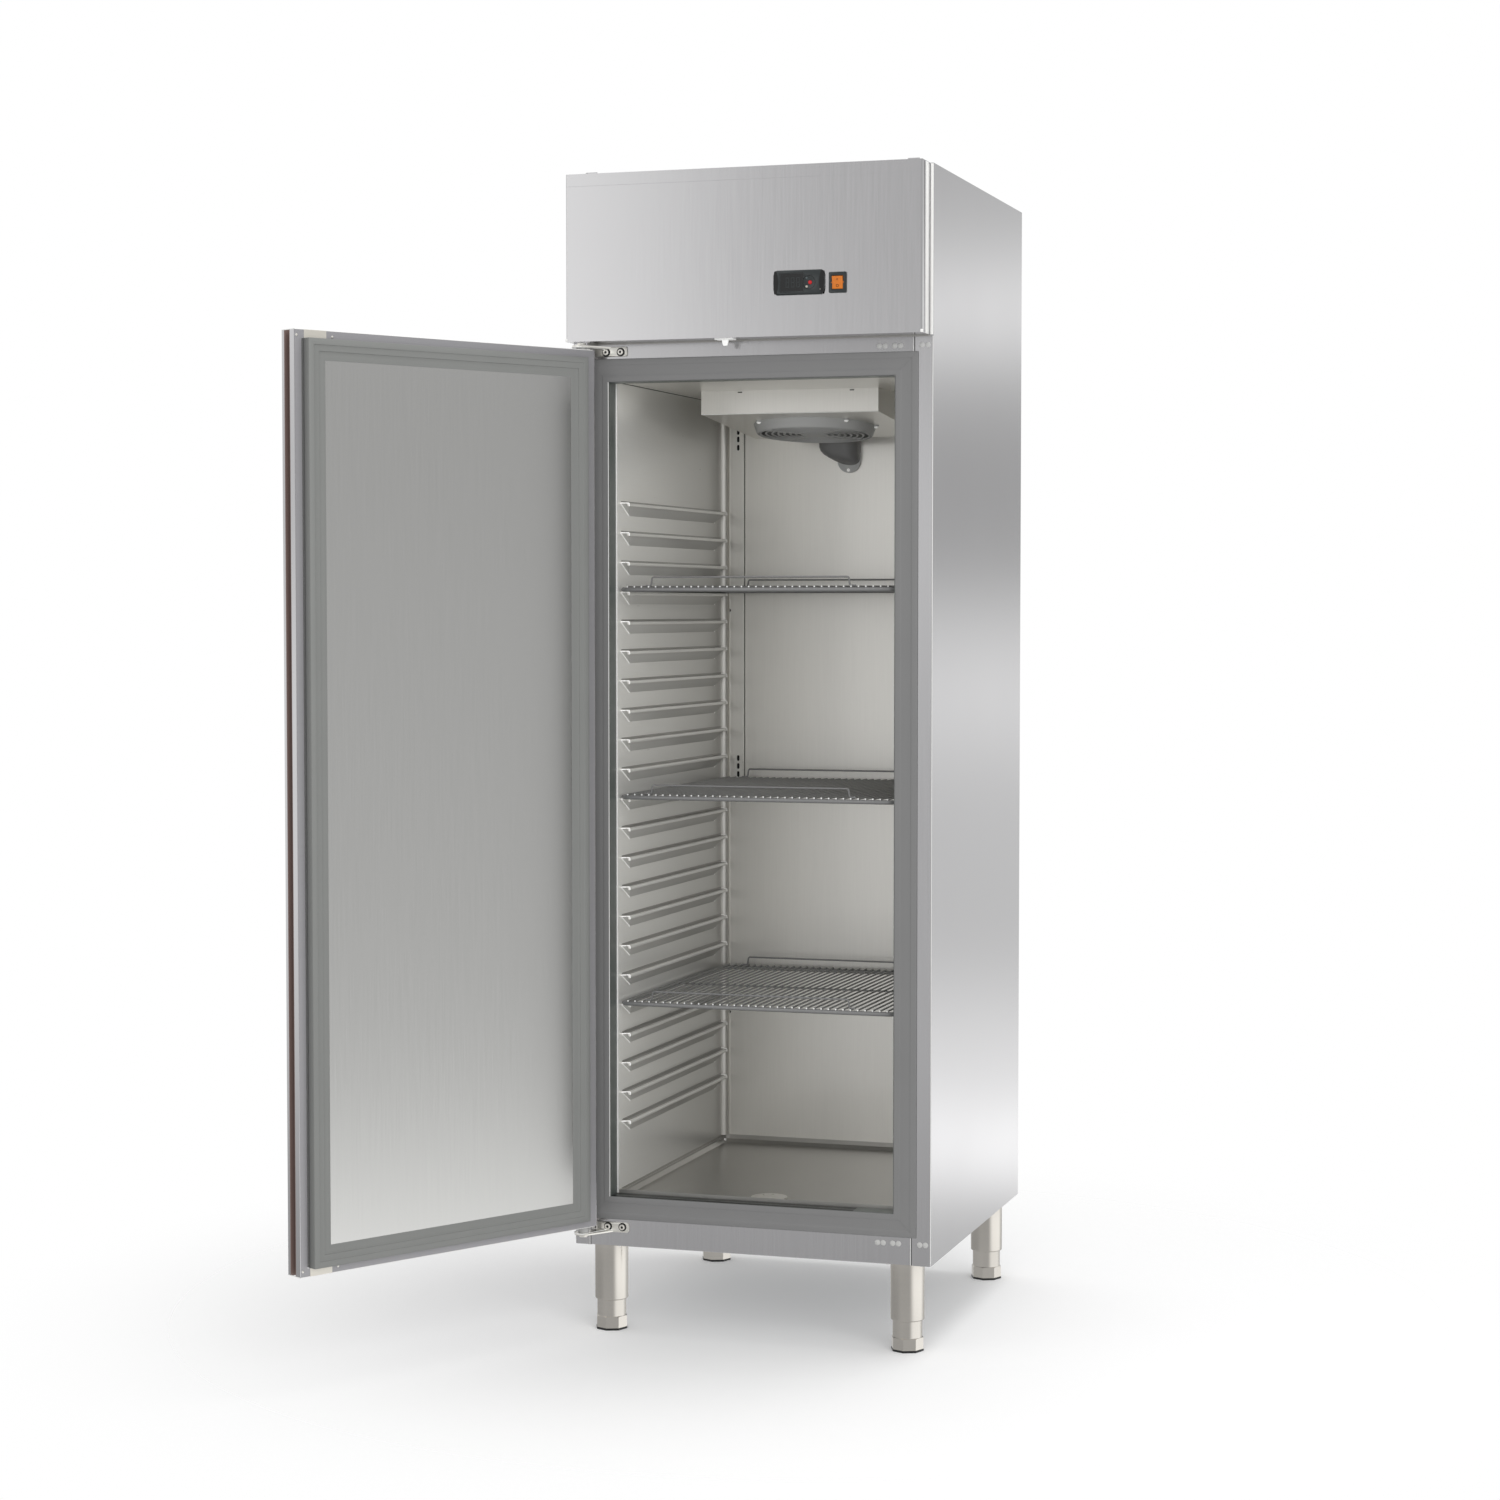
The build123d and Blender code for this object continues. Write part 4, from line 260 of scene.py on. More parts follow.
def moulded_plastic(name, colour, roughness, texture=900.0, depth=0.02 * MM, coat=0.0):
    """Moulded plastic or rubber with a fine spark-eroded texture and a slight change of tone."""
    material, tree = new_finish(name)
    grain = noise(tree, texture)
    clouds = noise(tree, 12.0)
    inputs = {
        "Base Color": shades(tree, clouds, colour, 0.96, 1.04),
        "Roughness": clouds * 0.1 + (roughness - 0.05),
        "Coat Weight": coat,
        "Coat Roughness": 0.08,
    }
    return finish_surface(material, tree, inputs, grain, depth)


def painted_glow_surface(name, texture, tones, roughness, glow, coat=0.0):
    """A smooth surface with a painted glow, a little light of its own though it is no lamp, between two
    tones.
    """
    material, tree = new_finish(name)
    tint = mix_colours(tree, noise(tree, texture), *tones)
    inputs = {
        "Base Color": tint,
        "Roughness": roughness,
        "Emission Color": tint,
        "Emission Strength": glow,
        "Coat Weight": coat,
    }
    return finish_surface(material, tree, inputs)


# Finishes, each under the name of its material slot or of the look that a few pieces have


def satin_stainless(name, look):
    """Outer sheets of the cabinet, the fascia and the door."""
    return brushed_metal(name, look.steel_colour, look.steel_roughness, UPRIGHT_GRAIN)


def margin_grey(name, look):
    """Folded margin of the door round its gasket, darker than the sheet as painted shade, and duller."""
    return brushed_metal(name, look.margin_shade_colour, 0.34, LEVEL_GRAIN, metallic=0.4)


def rail_steel(name, look):
    """Front rail over the opening, its steel darkened as painted shade under the edge of the fascia."""
    return brushed_metal(name, shade(look.steel_colour, 0.76), look.steel_roughness, UPRIGHT_GRAIN)


def liner_stainless(name, look):
    """Sheets inside the cabinet, and the small metal parts on them."""
    return brushed_metal(name, look.liner_colour, look.liner_roughness, LINER_GRAIN, metallic=0.8)


def door_panel_steel(name, look):
    """Smooth sheet on the inside of the door."""
    return brushed_metal(name, look.panel_colour, look.panel_roughness, UPRIGHT_GRAIN)


def side_liner_steel(name, look):
    """Side sheets inside the cabinet, with painted shade towards the rear and on the undersides of the
    runners.
    """
    material, tree = new_finish(name)
    colour = look.side_liner_colour
    # Painted shade: factors for the rear and for downward faces, and the slope over which downward faces
    # darken
    rear_shade, underside_shade, underside_slope = 0.56, 0.3, (0.3, 0.55)
    streaks = noise(tree, DEEP_GRAIN, detail=3.0, roughness=0.6)
    rear_shade_mask = ramp_between(tree, axis_of(tree, own_place(tree), "Y"), LINER_FRONT, LINER_REAR, "LINEAR")
    tint = shades(tree, streaks, colour, 0.96, 1.04)
    tint = mix_colours(tree, rear_shade_mask, tint, shade(colour, rear_shade))
    facing = add_node(tree, "ShaderNodeNewGeometry", output="Normal")
    underside_shade_mask = ramp_between(tree, axis_of(tree, facing, "Z") * -1.0, *underside_slope, "LINEAR")
    tint = mix_colours(tree, underside_shade_mask * 0.3, tint, shade(colour, underside_shade))
    inputs = {"Base Color": tint, "Metallic": 0.45, "Roughness": streaks * 0.06 + 0.26}
    return finish_surface(material, tree, inputs, streaks, GRAIN_DEPTH)


def floor_tray_steel(name, look):
    """Pressed tray in the bottom of the cabinet."""
    return brushed_metal(name, look.tray_colour, 0.3, DEEP_GRAIN, metallic=0.85)


def runner_nose_steel(name, look):
    """Rolled noses of the runners, paler and less metallic than the walls as a painted highlight."""
    return brushed_metal(name, look.nose_highlight_colour, 0.3, DEEP_GRAIN, metallic=0.3)


def crease_steel(name, look):
    """Painted shade along the creases at the tops of the runners and along the rail under the fascia, where
    the light does not reach.
    """
    return brushed_metal(name, look.crease_shade_colour, 0.36, DEEP_GRAIN, metallic=0.5)


def fold_glint(name, look):
    """Painted glint on the sharp folds round the runners' ends and on small screws, a little light of their
    own.
    """
    return painted_glow_surface(name, 200.0, (shade(look.edge_highlight_colour, 0.94), look.edge_highlight_colour), 0.3, 0.2)


def bright_edge(name, look):
    """Cut and rolled sheet edges, pale and barely metallic as a painted highlight."""
    return brushed_metal(name, look.edge_highlight_colour, 0.3, 300.0, metallic=0.12)


def cream_plate(name, look):
    """Plates let into the ends of the door."""
    return brushed_metal(name, look.plate_colour, 0.3, LEVEL_GRAIN, metallic=0.6)


def galvanised_sheet(name, look):
    """Rear, base and machine compartment sheets, with a zinc spangle."""
    material, tree = new_finish(name)
    inputs = {"Vector": own_place(tree), "Scale": 90.0}
    spangle = add_node(tree, "ShaderNodeTexVoronoi", {"feature": "F1"}, inputs, "Color")
    level = add_node(tree, "ShaderNodeRGBToBW", inputs={0: spangle})
    tint = shades(tree, level, look.galvanised_colour, 0.9, 1.08)
    inputs = {"Base Color": tint, "Metallic": 1.0, "Roughness": level * 0.16 + 0.4}
    return finish_surface(material, tree, inputs, level, 0.01 * MM)


def foam(name, look):
    """Cut edge of the polyurethane foam, with small open cells."""
    material, tree = new_finish(name)
    cells = noise(tree, 420.0, detail=4.0, roughness=0.7)
    tint = shades(tree, cells, look.foam_colour, 0.8, 1.1)
    return finish_surface(material, tree, {"Base Color": tint, "Roughness": 0.9}, cells, 0.3 * MM)


def fin_aluminium(name, look):
    """Bare aluminium fins of the two coils."""
    return brushed_metal(name, look.fin_colour, 0.42, (60.0, 900.0, 900.0))


def leg_nickel(name, look):
    """Legs and feet, turned, with the fine rings of the lathe."""
    return brushed_metal(name, look.leg_colour, 0.2, (9.0, 9.0, 1500.0), depth=0.002 * MM)


def hinge_steel(name, look):
    """Hinge plates, pins and screws."""
    return brushed_metal(name, look.hinge_colour, 0.3, (200.0, 900.0, 900.0))


def shelf_wire(name, look):
    """Drawn wire with a grey electroplated skin."""
    return brushed_metal(name, look.wire_colour, 0.42, (300.0, 40.0, 300.0), metallic=0.5)


def copper_pipe(name, look):
    """Copper tube with dull patches."""
    return brushed_metal(name, look.copper_colour, 0.38, 60.0, cloud=40.0)


def rocker_orange(name, look):
    """Translucent rocker of the switch, with a painted glow of its own."""
    tones = (shade(look.rocker_colour, 0.8), shade(look.rocker_colour, 1.15))
    return painted_glow_surface(name, 260.0, tones, 0.28, 0.1, coat=0.4)


def sensor_white(name, look):
    """White plastic of the door sensor, with a painted glow of its own."""
    return painted_glow_surface(name, 300.0, ((0.8, 0.8, 0.79), (0.86, 0.86, 0.85)), 0.35, 0.28)


def frame_grey_plastic(name, look):
    """Extruded grey plastic of the frame round the opening."""
    return moulded_plastic(name, look.frame_colour, 0.42)


def return_plastic(name, look):
    """Painted shade on the inner faces of the frame, which the door's light does not reach."""
    return moulded_plastic(name, look.return_shade_colour, 0.3, depth=0.01 * MM)


def hood_plastic(name, look):
    """Glossier moulded plastic of the hood over the drain pipe."""
    return moulded_plastic(name, look.frame_colour, 0.24, depth=0.01 * MM)


def guard_plastic(name, look):
    """Paler moulded plastic of the fan guard."""
    return moulded_plastic(name, look.guard_colour, 0.4)


def control_plastic(name, look):
    """Black plastic of the controller and the switch, with a cool sheen."""
    return moulded_plastic(name, look.control_colour, 0.3, texture=1400.0, coat=0.25)


def grip_brown_plastic(name, look):
    """Brown plastic of the grip down the door's free edge."""
    return moulded_plastic(name, look.grip_colour, 0.4)


def plug_plastic(name, look):
    """Pale plugs in the spare hinge holes."""
    return moulded_plastic(name, look.plug_colour, 0.35)


def gasket_rubber(name, look):
    """Soft grey seal on the door."""
    return moulded_plastic(name, look.gasket_colour, 0.5, texture=500.0)


def recorded_colour(slot):
    """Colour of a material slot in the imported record."""
    for material in frame["record"]["materials"]:
        if material["slot"] == slot:
            return linear(material["base_color"][:3])
    raise RuntimeError("The record has no material slot named " + slot)


def recorded_plastic(roughness, **settings):
    """Makes the finish function of a plastic whose colour the record gives."""

    def make(name, look):
        return moulded_plastic(name, recorded_colour(name), roughness, **settings)

    return make


FINISHES = {
    "fan_plastic": recorded_plastic(0.4),
    "motor_black": recorded_plastic(0.35, texture=300.0, depth=0.05 * MM),
    "black_plastic": recorded_plastic(0.38, texture=1400.0),
    "display_window": recorded_plastic(0.12, coat=0.6, depth=0.0),
    "key_red": recorded_plastic(0.3, coat=0.3),
    "key_grey": recorded_plastic(0.3, coat=0.3),
    "key_pale": recorded_plastic(0.3, coat=0.3),
    "white_plastic": recorded_plastic(0.35),
}
for make_finish in (
    satin_stainless, margin_grey, rail_steel, liner_stainless, door_panel_steel, side_liner_steel,
    floor_tray_steel, runner_nose_steel, crease_steel, fold_glint, bright_edge, cream_plate,
    galvanised_sheet, foam, fin_aluminium, leg_nickel, hinge_steel, shelf_wire, copper_pipe,
    rocker_orange, sensor_white, frame_grey_plastic, return_plastic, hood_plastic, guard_plastic,
    control_plastic, grip_brown_plastic, plug_plastic, gasket_rubber,
):
    FINISHES[make_finish.__name__] = make_finish

# Imported solids that look unlike the rest of their slot; the top rail and the inner side sheets carry
# painted shade
OWN_FINISHES = {
    "top_rail": "rail_steel",
    "door_inner_panel": "door_panel_steel",
    "liner_left": "side_liner_steel",
    "liner_right": "side_liner_steel",
    "liner_floor": "floor_tray_steel",
}

made_finishes = {}


def finish(context, name):
    """The finish of a material slot or a look, made when it is first asked for."""
    if name not in made_finishes:
        made_finishes[name] = FINISHES[name](name, context.scene.refrigerator_finishes)
    return made_finishes[name]


# Mesh building


def in_mm(points):
    """Flat points given in millimetres, as the mesh builders take them."""
    return [(u * MM, v * MM) for u, v in points]


def angles(count, sweep=2 * pi, start=0.0):
    """Even steps of an angle over a sweep, without its end."""
    return [start + sweep * k / count for k in range(count)]


def front_ring(centre, radius, count):
    """Points of a circle that faces the front."""
    return [Vector(centre) + Vector((cos(a), 0, sin(a))) * radius for a in angles(count)]


def lathe(bm, profile, origin, axis=(0, 0, 1), segments=48):
    """Turns a profile of (radius, height) points about an axis, with closed ends where the radius is 0."""
    turn = Vector((0, 0, 1)).rotation_difference(Vector(axis).normalized()).to_matrix()
    rings = []
    for radius, height in profile:
        ring = [Vector((radius * cos(a), radius * sin(a), height)) for a in angles(segments)]
        if radius == 0:
            ring = ring[:1]
        rings.append([bm.verts.new(Vector(origin) + turn @ point) for point in ring])
    join_rings(bm, rings)


def join_rings(bm, rings, closed=False):
    """Makes faces between rings of points that follow each other; a ring of one point is a tip."""
    pairs = list(zip(rings, rings[1:]))
    if closed:
        pairs.append((rings[-1], rings[0]))
    for low, high in pairs:
        count = max(len(low), len(high))
        if count == 1:
            continue
        for i in range(count):
            corners = [low[i % len(low)], low[(i + 1) % len(low)]]
            corners += [high[(i + 1) % len(high)], high[i % len(high)]]
            bm.faces.new(list(dict.fromkeys(corners)))


def close_ends(bm, first, last):
    """Flat faces over the first and the last ring."""
    bm.faces.new(list(reversed(first)))
    bm.faces.new(last)


def tube(bm, points, radius, closed=False, segments=10):
    """Sweeps a round section along a line of points, with flat ends."""
    points = [Vector(p) for p in points]
    count = len(points)
    rings = []
    side = None
    for i, point in enumerate(points):
        before = points[i - 1] if i or closed else point
        after = points[(i + 1) % count] if i < count - 1 or closed else point
        ahead = (after - before).normalized()
        if side is None:
            side = ahead.orthogonal().normalized()
        side = (side - ahead * side.dot(ahead)).normalized()
        across = ahead.cross(side)
        offsets = [side * cos(a) + across * sin(a) for a in angles(segments)]
        rings.append([bm.verts.new(point + offset * radius) for offset in offsets])
    join_rings(bm, rings, closed)
    if not closed:
        close_ends(bm, rings[0], rings[-1])


def rounded_path(points, radius, closed=False, steps=4):
    """The same line of points with each inner corner turned into an arc."""
    points = [Vector(p) for p in points]
    count = len(points)
    path = []
    for i, corner in enumerate(points):
        if not closed and i in (0, count - 1):
            path.append(corner)
            continue
        back = (points[i - 1] - corner).normalized()
        ahead = (points[(i + 1) % count] - corner).normalized()
        reach = radius / tan(back.angle(ahead) / 2)
        start, end = corner + back * reach, corner + ahead * reach
        centre = corner + (back + ahead).normalized() * radius / sin(back.angle(ahead) / 2)
        for k in range(steps + 1):
            spoke = (start - centre).normalized().slerp((end - centre).normalized(), k / steps)
            path.append(centre + spoke * radius)
    return path


def block(bm, corner, opposite, bevel=0.0):
    """A box between two opposite corners, with rounded edges."""
    low = [min(pair) for pair in zip(corner, opposite)]
    high = [max(pair) for pair in zip(corner, opposite)]
    made = bmesh.ops.create_cube(bm, size=1.0)["verts"]
    for vertex in made:
        for axis in range(3):
            vertex.co[axis] = (low[axis] + high[axis]) / 2 + vertex.co[axis] * (high[axis] - low[axis])
    if bevel:
        edges = list({edge for vertex in made for edge in vertex.link_edges})
        bmesh.ops.bevel(bm, geom=edges, offset=bevel, segments=2, profile=0.5, affect="EDGES")


def prism(bm, outline, offset):
    """A solid between a flat outline and its copy at an offset."""
    near = [bm.verts.new(Vector(point)) for point in outline]
    far = [bm.verts.new(Vector(point) + Vector(offset)) for point in outline]
    join_rings(bm, [near, far])
    close_ends(bm, near, far)


def ball(bm, centre, radius, segments):
    """A small round ball."""
    middle = [(radius * sin(a), -radius * cos(a)) for a in angles(8, pi)[1:]]
    lathe(bm, [(0, -radius), *middle, (0, radius)], centre, segments=segments)


def screw_dome(bm, place, axis, radius, height, segments=20):
    """A round screw head that stands on a face."""
    arc = [(radius * cos(a), height * sin(a)) for a in angles(5, pi / 2)]
    lathe(bm, [(0, 0), *arc, (0, height)], place, axis, segments)


def door_spot(across, depth, height):
    """A point of the door at rest, by its distances from the hinge side, the outer face and the floor."""
    return DOOR_CORNER + DOOR_ACROSS * across + DOOR_INWARD * depth + Vector((0, 0, height))


def door_plate(bm, across, height, proud):
    """A thin plate on the door's inner face, between two widths and two heights."""
    (left, right), (bottom, top) = across, height
    sunk = 0.2 * MM
    corners = [(left, bottom), (right, bottom), (right, top), (left, top)]
    outline = [door_spot(a, DOOR_DEPTH - sunk, h) for a, h in corners]
    prism(bm, outline, DOOR_INWARD * (proud + sunk))


def copied_solid(node, bevel):
    """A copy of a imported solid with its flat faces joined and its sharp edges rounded."""
    same_point, flat, sharp = 0.002 * MM, radians(1), radians(25)
    bm = bmesh.new()
    bm.from_mesh(frame["nodes"][node].data)
    bmesh.ops.remove_doubles(bm, verts=bm.verts, dist=same_point)
    bmesh.ops.dissolve_limit(bm, angle_limit=flat, verts=bm.verts, edges=bm.edges)
    edges = [edge for edge in bm.edges if len(edge.link_faces) == 2 and edge.calc_face_angle(0) > sharp]
    settings = {"offset": bevel, "segments": 2, "profile": 0.5, "affect": "EDGES", "clamp_overlap": True}
    bmesh.ops.bevel(bm, geom=edges, **settings)
    return bm


def piece(context, name, bm, slot, body, *nodes, smooth=35, look=None):
    """Turns a mesh into a named piece of a material slot, on a body, in place of CAD nodes."""
    mesh = bpy.data.meshes.new(name)
    bmesh.ops.recalc_face_normals(bm, faces=bm.faces)
    bm.to_mesh(mesh)
    bm.free()
    for face in mesh.polygons:
        face.use_smooth = True
    mesh.set_sharp_from_angle(angle=radians(smooth))
    made = bpy.data.objects.new(name, mesh)
    context.scene.collection.objects.link(made)
    made.data.materials.append(finish(context, look or slot))
    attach(made, body)
    if nodes:
        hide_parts(*nodes)


# Sizes and colours that a user may change


def colour(name, description, *default):
    """A colour setting."""
    return FloatVectorProperty(name=name, description=description, subtype="COLOR", default=default)


def number(name, description, default):
    """A setting without a unit."""
    return FloatProperty(name=name, description=description, default=default)


def length(name, description, default):
    """A length setting."""
    return FloatProperty(name=name, description=description, default=default, unit="LENGTH")


class StudioSettings(bpy.types.PropertyGroup):
    """Floor, lamps and background."""

    floor_colour: colour("Floor", "Colour of the floor", 0.9, 0.9, 0.9)
    floor_lift: number("Floor lift", "White added to the floor as the camera sees it", 0.12)
    ambient: number("Ambient", "Level of the light from all round", 0.62)
    key_power: number("Key lamp", "Power of the large lamp at the front", 45.0)
    fill_power: number("Fill lamp", "Power of the lamp at the right", 55.0)
    top_power: number("Top lamp", "Power of the lamp overhead", 58.0)


class FinishSettings(bpy.types.PropertyGroup):
    """Colours and gloss of the metals and plastics."""

    steel_colour: colour("Outer steel", "Outer sheets", 0.63, 0.625, 0.635)
    steel_roughness: number("Outer roughness", "Gloss of the outer sheets", 0.17)
    frame_colour: colour("Frame", "Plastic frame round the opening", 0.2, 0.2, 0.2)
    gasket_colour: colour("Gasket", "Rubber seal", 0.225, 0.23, 0.222)
    guard_colour: colour("Guard", "Fan guard", 0.5, 0.505, 0.5)
    liner_colour: colour("Liner steel", "Inner sheets", 0.9, 0.885, 0.84)
    liner_roughness: number("Liner roughness", "Gloss of the inner sheets", 0.3)
    edge_highlight_colour: colour("Bright edges", "Cut and rolled edges", 0.97, 0.965, 0.94)
    control_colour: colour("Controls", "Controller and switch", 0.016, 0.021, 0.022)
    return_shade_colour: colour("Frame returns", "Inner faces of the frame", 0.1, 0.115, 0.108)
    nose_highlight_colour: colour("Runner noses", "Rolled noses of the runners", 0.88, 0.87, 0.83)
    crease_shade_colour: colour("Creases", "Creases over the runners", 0.42, 0.41, 0.39)
    margin_shade_colour: colour("Door margin", "Folded margin of the door", 0.36, 0.355, 0.37)
    plate_colour: colour("Door plates", "Plates in the door's ends", 0.74, 0.71, 0.64)
    side_liner_colour: colour("Side liner", "Inner side sheets", 1.0, 0.99, 0.94)
    tray_colour: colour("Floor tray", "Tray in the bottom", 0.52, 0.51, 0.485)
    grip_colour: colour("Grip", "Grip on the door's edge", 0.2, 0.14, 0.125)
    plug_colour: colour("Plugs", "Plugs in the spare holes", 0.5, 0.5, 0.49)
    panel_colour: colour("Door panel", "Sheet inside the door", 0.62, 0.62, 0.605)
    panel_roughness: number("Door panel roughness", "Gloss of the sheet inside the door", 0.16)
    galvanised_colour: colour("Galvanised", "Hidden sheets", 0.5, 0.51, 0.52)
    foam_colour: colour("Foam", "Insulation foam", 0.75, 0.66, 0.42)
    fin_colour: colour("Fins", "Fins of the coils", 0.7, 0.7, 0.71)
    leg_colour: colour("Legs", "Legs and feet", 0.68, 0.65, 0.6)
    hinge_colour: colour("Hinges", "Hinge hardware", 0.94, 0.92, 0.86)
    wire_colour: colour("Shelf wire", "Wire of the shelves", 0.27, 0.27, 0.27)
    copper_colour: colour("Copper", "Refrigerant line", 0.72, 0.38, 0.22)
    rocker_colour: colour("Rocker", "Rocker of the switch", 0.6, 0.16, 0.008)


class ShelfSettings(bpy.types.PropertyGroup):
    """Wire sizes of the shelves."""

    rod_radius: length("Rod radius", "Loop round the shelf", 0.0036)
    wire_radius: length("Wire radius", "Wires front to back", 0.0015)
    wire_pitch: length("Wire pitch", "Distance between wires", 0.0122)
    wire_count: IntProperty(name="Wires", description="Wires front to back", default=37)
    corner_radius: length("Corner radius", "Corners of the loop", 0.012)
    stop_height: length("Stop height", "Stop wires above the wires", 0.0155)
    stop_length: length("Stop length", "Length of a stop wire", 0.336)
    stop_centre: length("Stop centre", "Middle of the stop wires, along x", -0.014)
    stop_setback: length("Stop setback", "Stop wires in from the ends", 0.012)


class LegSettings(bpy.types.PropertyGroup):
    """Sizes of the legs and their feet."""

    sleeve_lip: length("Sleeve lip", "Rounded lower edge of the leg", 0.0025)
    nut_round: length("Nut chamfer radius", "Where the nut's chamfer starts", 0.0262)
    pad_height: length("Pad height", "Dark pad under the foot", 0.0036)
    nut_top: length("Nut top", "Height of the nut's upper edge", 0.023)


# Operators


class StudioOperator(bpy.types.Operator):
    """Make the floor, the lamps, the background and the camera"""

    bl_idname = "refrigerator.studio"
    bl_label = "Studio and camera"

    def execute(self, context):
        look = context.scene.refrigerator_studio
        context.scene.view_settings.view_transform = "Standard"
        self.add_floor(context, look)
        self.set_world(context, look)
        self.add_lamp(context, "key_lamp", (1.0, -4.6, 1.5), 2.4, look.key_power)
        self.add_lamp(context, "fill_lamp", (2.9, -3.4, 2.5), 2.6, look.fill_power)
        self.add_lamp(context, "top_lamp", (0.8, 0.4, 4.6), 2.0, look.top_power)
        self.add_camera(context)
        return {"FINISHED"}

    def add_floor(self, context, look):
        """A wide pale floor that keeps the shadow and meets the background without a line."""
        half_width, fade_start, fade_end = 14.0, 0.35, 1.45
        bm = bmesh.new()
        bmesh.ops.create_grid(bm, x_segments=4, y_segments=4, size=half_width)
        mesh = bpy.data.meshes.new("studio_floor")
        bm.to_mesh(mesh)
        bm.free()
        floor = bpy.data.objects.new("studio_floor", mesh)
        context.scene.collection.objects.link(floor)
        material, tree = new_finish("studio_floor")
        paint = add_node(tree, "ShaderNodeBsdfDiffuse", inputs={"Color": (*look.floor_colour, 1.0)})
        white = {"Color": (1.0, 1.0, 1.0, 1.0), "Strength": look.floor_lift}
        lift = add_node(tree, "ShaderNodeEmission", inputs=white)
        near = add_node(tree, "ShaderNodeAddShader", inputs={0: paint, 1: lift})
        clear = add_node(tree, "ShaderNodeBsdfTransparent")
        camera_ray = add_node(tree, "ShaderNodeLightPath", output="Is Camera Ray")
        shown = add_node(tree, "ShaderNodeMixShader", inputs={0: camera_ray, 1: paint, 2: near})
        place = {0: own_place(tree)}
        distance = add_node(tree, "ShaderNodeVectorMath", {"operation": "LENGTH"}, place, "Value")
        fade = ramp_between(tree, distance, fade_start, fade_end)
        shown = add_node(tree, "ShaderNodeMixShader", inputs={0: fade, 1: shown, 2: clear})
        add_node(tree, "ShaderNodeOutputMaterial", inputs={"Surface": shown})
        mesh.materials.append(material)
        floor.visible_glossy = False

    def set_world(self, context, look):
        """White behind the object, a soft studio in its reflections, and even light from all round."""
        world = bpy.data.worlds.new("studio")
        context.scene.world = world
        world.use_nodes = True
        tree = world.node_tree
        tree.nodes.clear()
        camera_ray = add_node(tree, "ShaderNodeLightPath", output="Is Camera Ray")
        glossy_ray = add_node(tree, "ShaderNodeLightPath", output="Is Glossy Ray")
        clear_ray = add_node(tree, "ShaderNodeLightPath", output="Is Transmission Ray")
        ambient = (look.ambient,) * 3
        seen = mix_colours(tree, glossy_ray, ambient, self.add_studio(tree))
        shown = mix_colours(tree, camera_ray + clear_ray, seen, (1.0, 1.0, 1.0))
        light = add_node(tree, "ShaderNodeBackground", inputs={"Color": shown, "Strength": 1.0})
        add_node(tree, "ShaderNodeOutputWorld", inputs={"Surface": light})
        world.cycles.sampling_method = "NONE"

    def add_studio(self, tree):
        """The studio as polished metal shows it: four walls with brighter and darker bands."""
        bright_end = (1.6, 1.6, 1.59)
        raised, front_to_rear, to_right, to_left = (-0.12, -0.02), (-0.3, 0.3), (0.45, 0.88), (-0.5, -0.85)
        direction = add_node(tree, "ShaderNodeTexCoord", output="Generated")
        across, depth, height = (axis_of(tree, direction, axis) for axis in "XYZ")
        front = bands(tree, height, FRONT_WALL)
        lit = mix_colours(tree, bands(tree, across, FRONT_LEFT_WALL), front, bright_end)
        front = mix_colours(tree, ramp_between(tree, height, *raised), front, lit)
        rear, right, left = (bands(tree, height, wall) for wall in (REAR_WALL, RIGHT_WALL, LEFT_WALL))
        studio = mix_colours(tree, ramp_between(tree, depth, *front_to_rear), front, rear)
        studio = mix_colours(tree, ramp_between(tree, across, *to_right), studio, right)
        return mix_colours(tree, ramp_between(tree, across, *to_left), studio, left)

    def add_lamp(self, context, name, place, size, power):
        """A square lamp that looks at the middle of the cabinet."""
        lamp = bpy.data.lights.new(name, "AREA")
        lamp.size = size
        lamp.energy = power
        made = bpy.data.objects.new(name, lamp)
        made.location = place
        aim = Vector((0, 0, 1.0)) - Vector(place)
        made.rotation_euler = aim.to_track_quat("-Z", "Y").to_euler()
        made.visible_glossy = False
        context.scene.collection.objects.link(made)

    def add_camera(self, context):
        """The photograph's view, for a square picture of 1500 pixels."""
        picture_side = 1500.0
        focal_length = 3046.3
        principal_x, principal_y = 745.9, 750.5
        yaw, pitch = 0.308, -0.047
        place = (1.4702, -4.9605, 1.1886)
        data = bpy.data.cameras.new("camera")
        data.sensor_fit = "HORIZONTAL"
        data.sensor_width = 36.0
        data.lens = data.sensor_width * focal_length / picture_side
        data.shift_x = 0.5 - principal_x / picture_side
        data.shift_y = principal_y / picture_side - 0.5
        data.clip_end = 100.0
        ahead = Vector((-sin(yaw) * cos(pitch), cos(yaw) * cos(pitch), sin(pitch)))
        right = Vector((cos(yaw), sin(yaw), 0))
        up = right.cross(ahead)
        made = bpy.data.objects.new("camera", data)
        turn = Matrix((right, up, -ahead)).transposed().to_4x4()
        made.matrix_world = Matrix.Translation(place) @ turn
        context.scene.collection.objects.link(made)
        context.scene.camera = made


class FinishOperator(bpy.types.Operator):
    """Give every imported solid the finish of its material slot"""

    bl_idname = "refrigerator.finishes"
    bl_label = "Finishes"

    def execute(self, context):
        for subpart in frame["record"]["subparts"]:
            solid = frame["nodes"][subpart["node"]]
            solid.data.materials.clear()
            look = OWN_FINISHES.get(subpart["node"], subpart["material_slot"])
            solid.data.materials.append(finish(context, look))
        return {"FINISHED"}


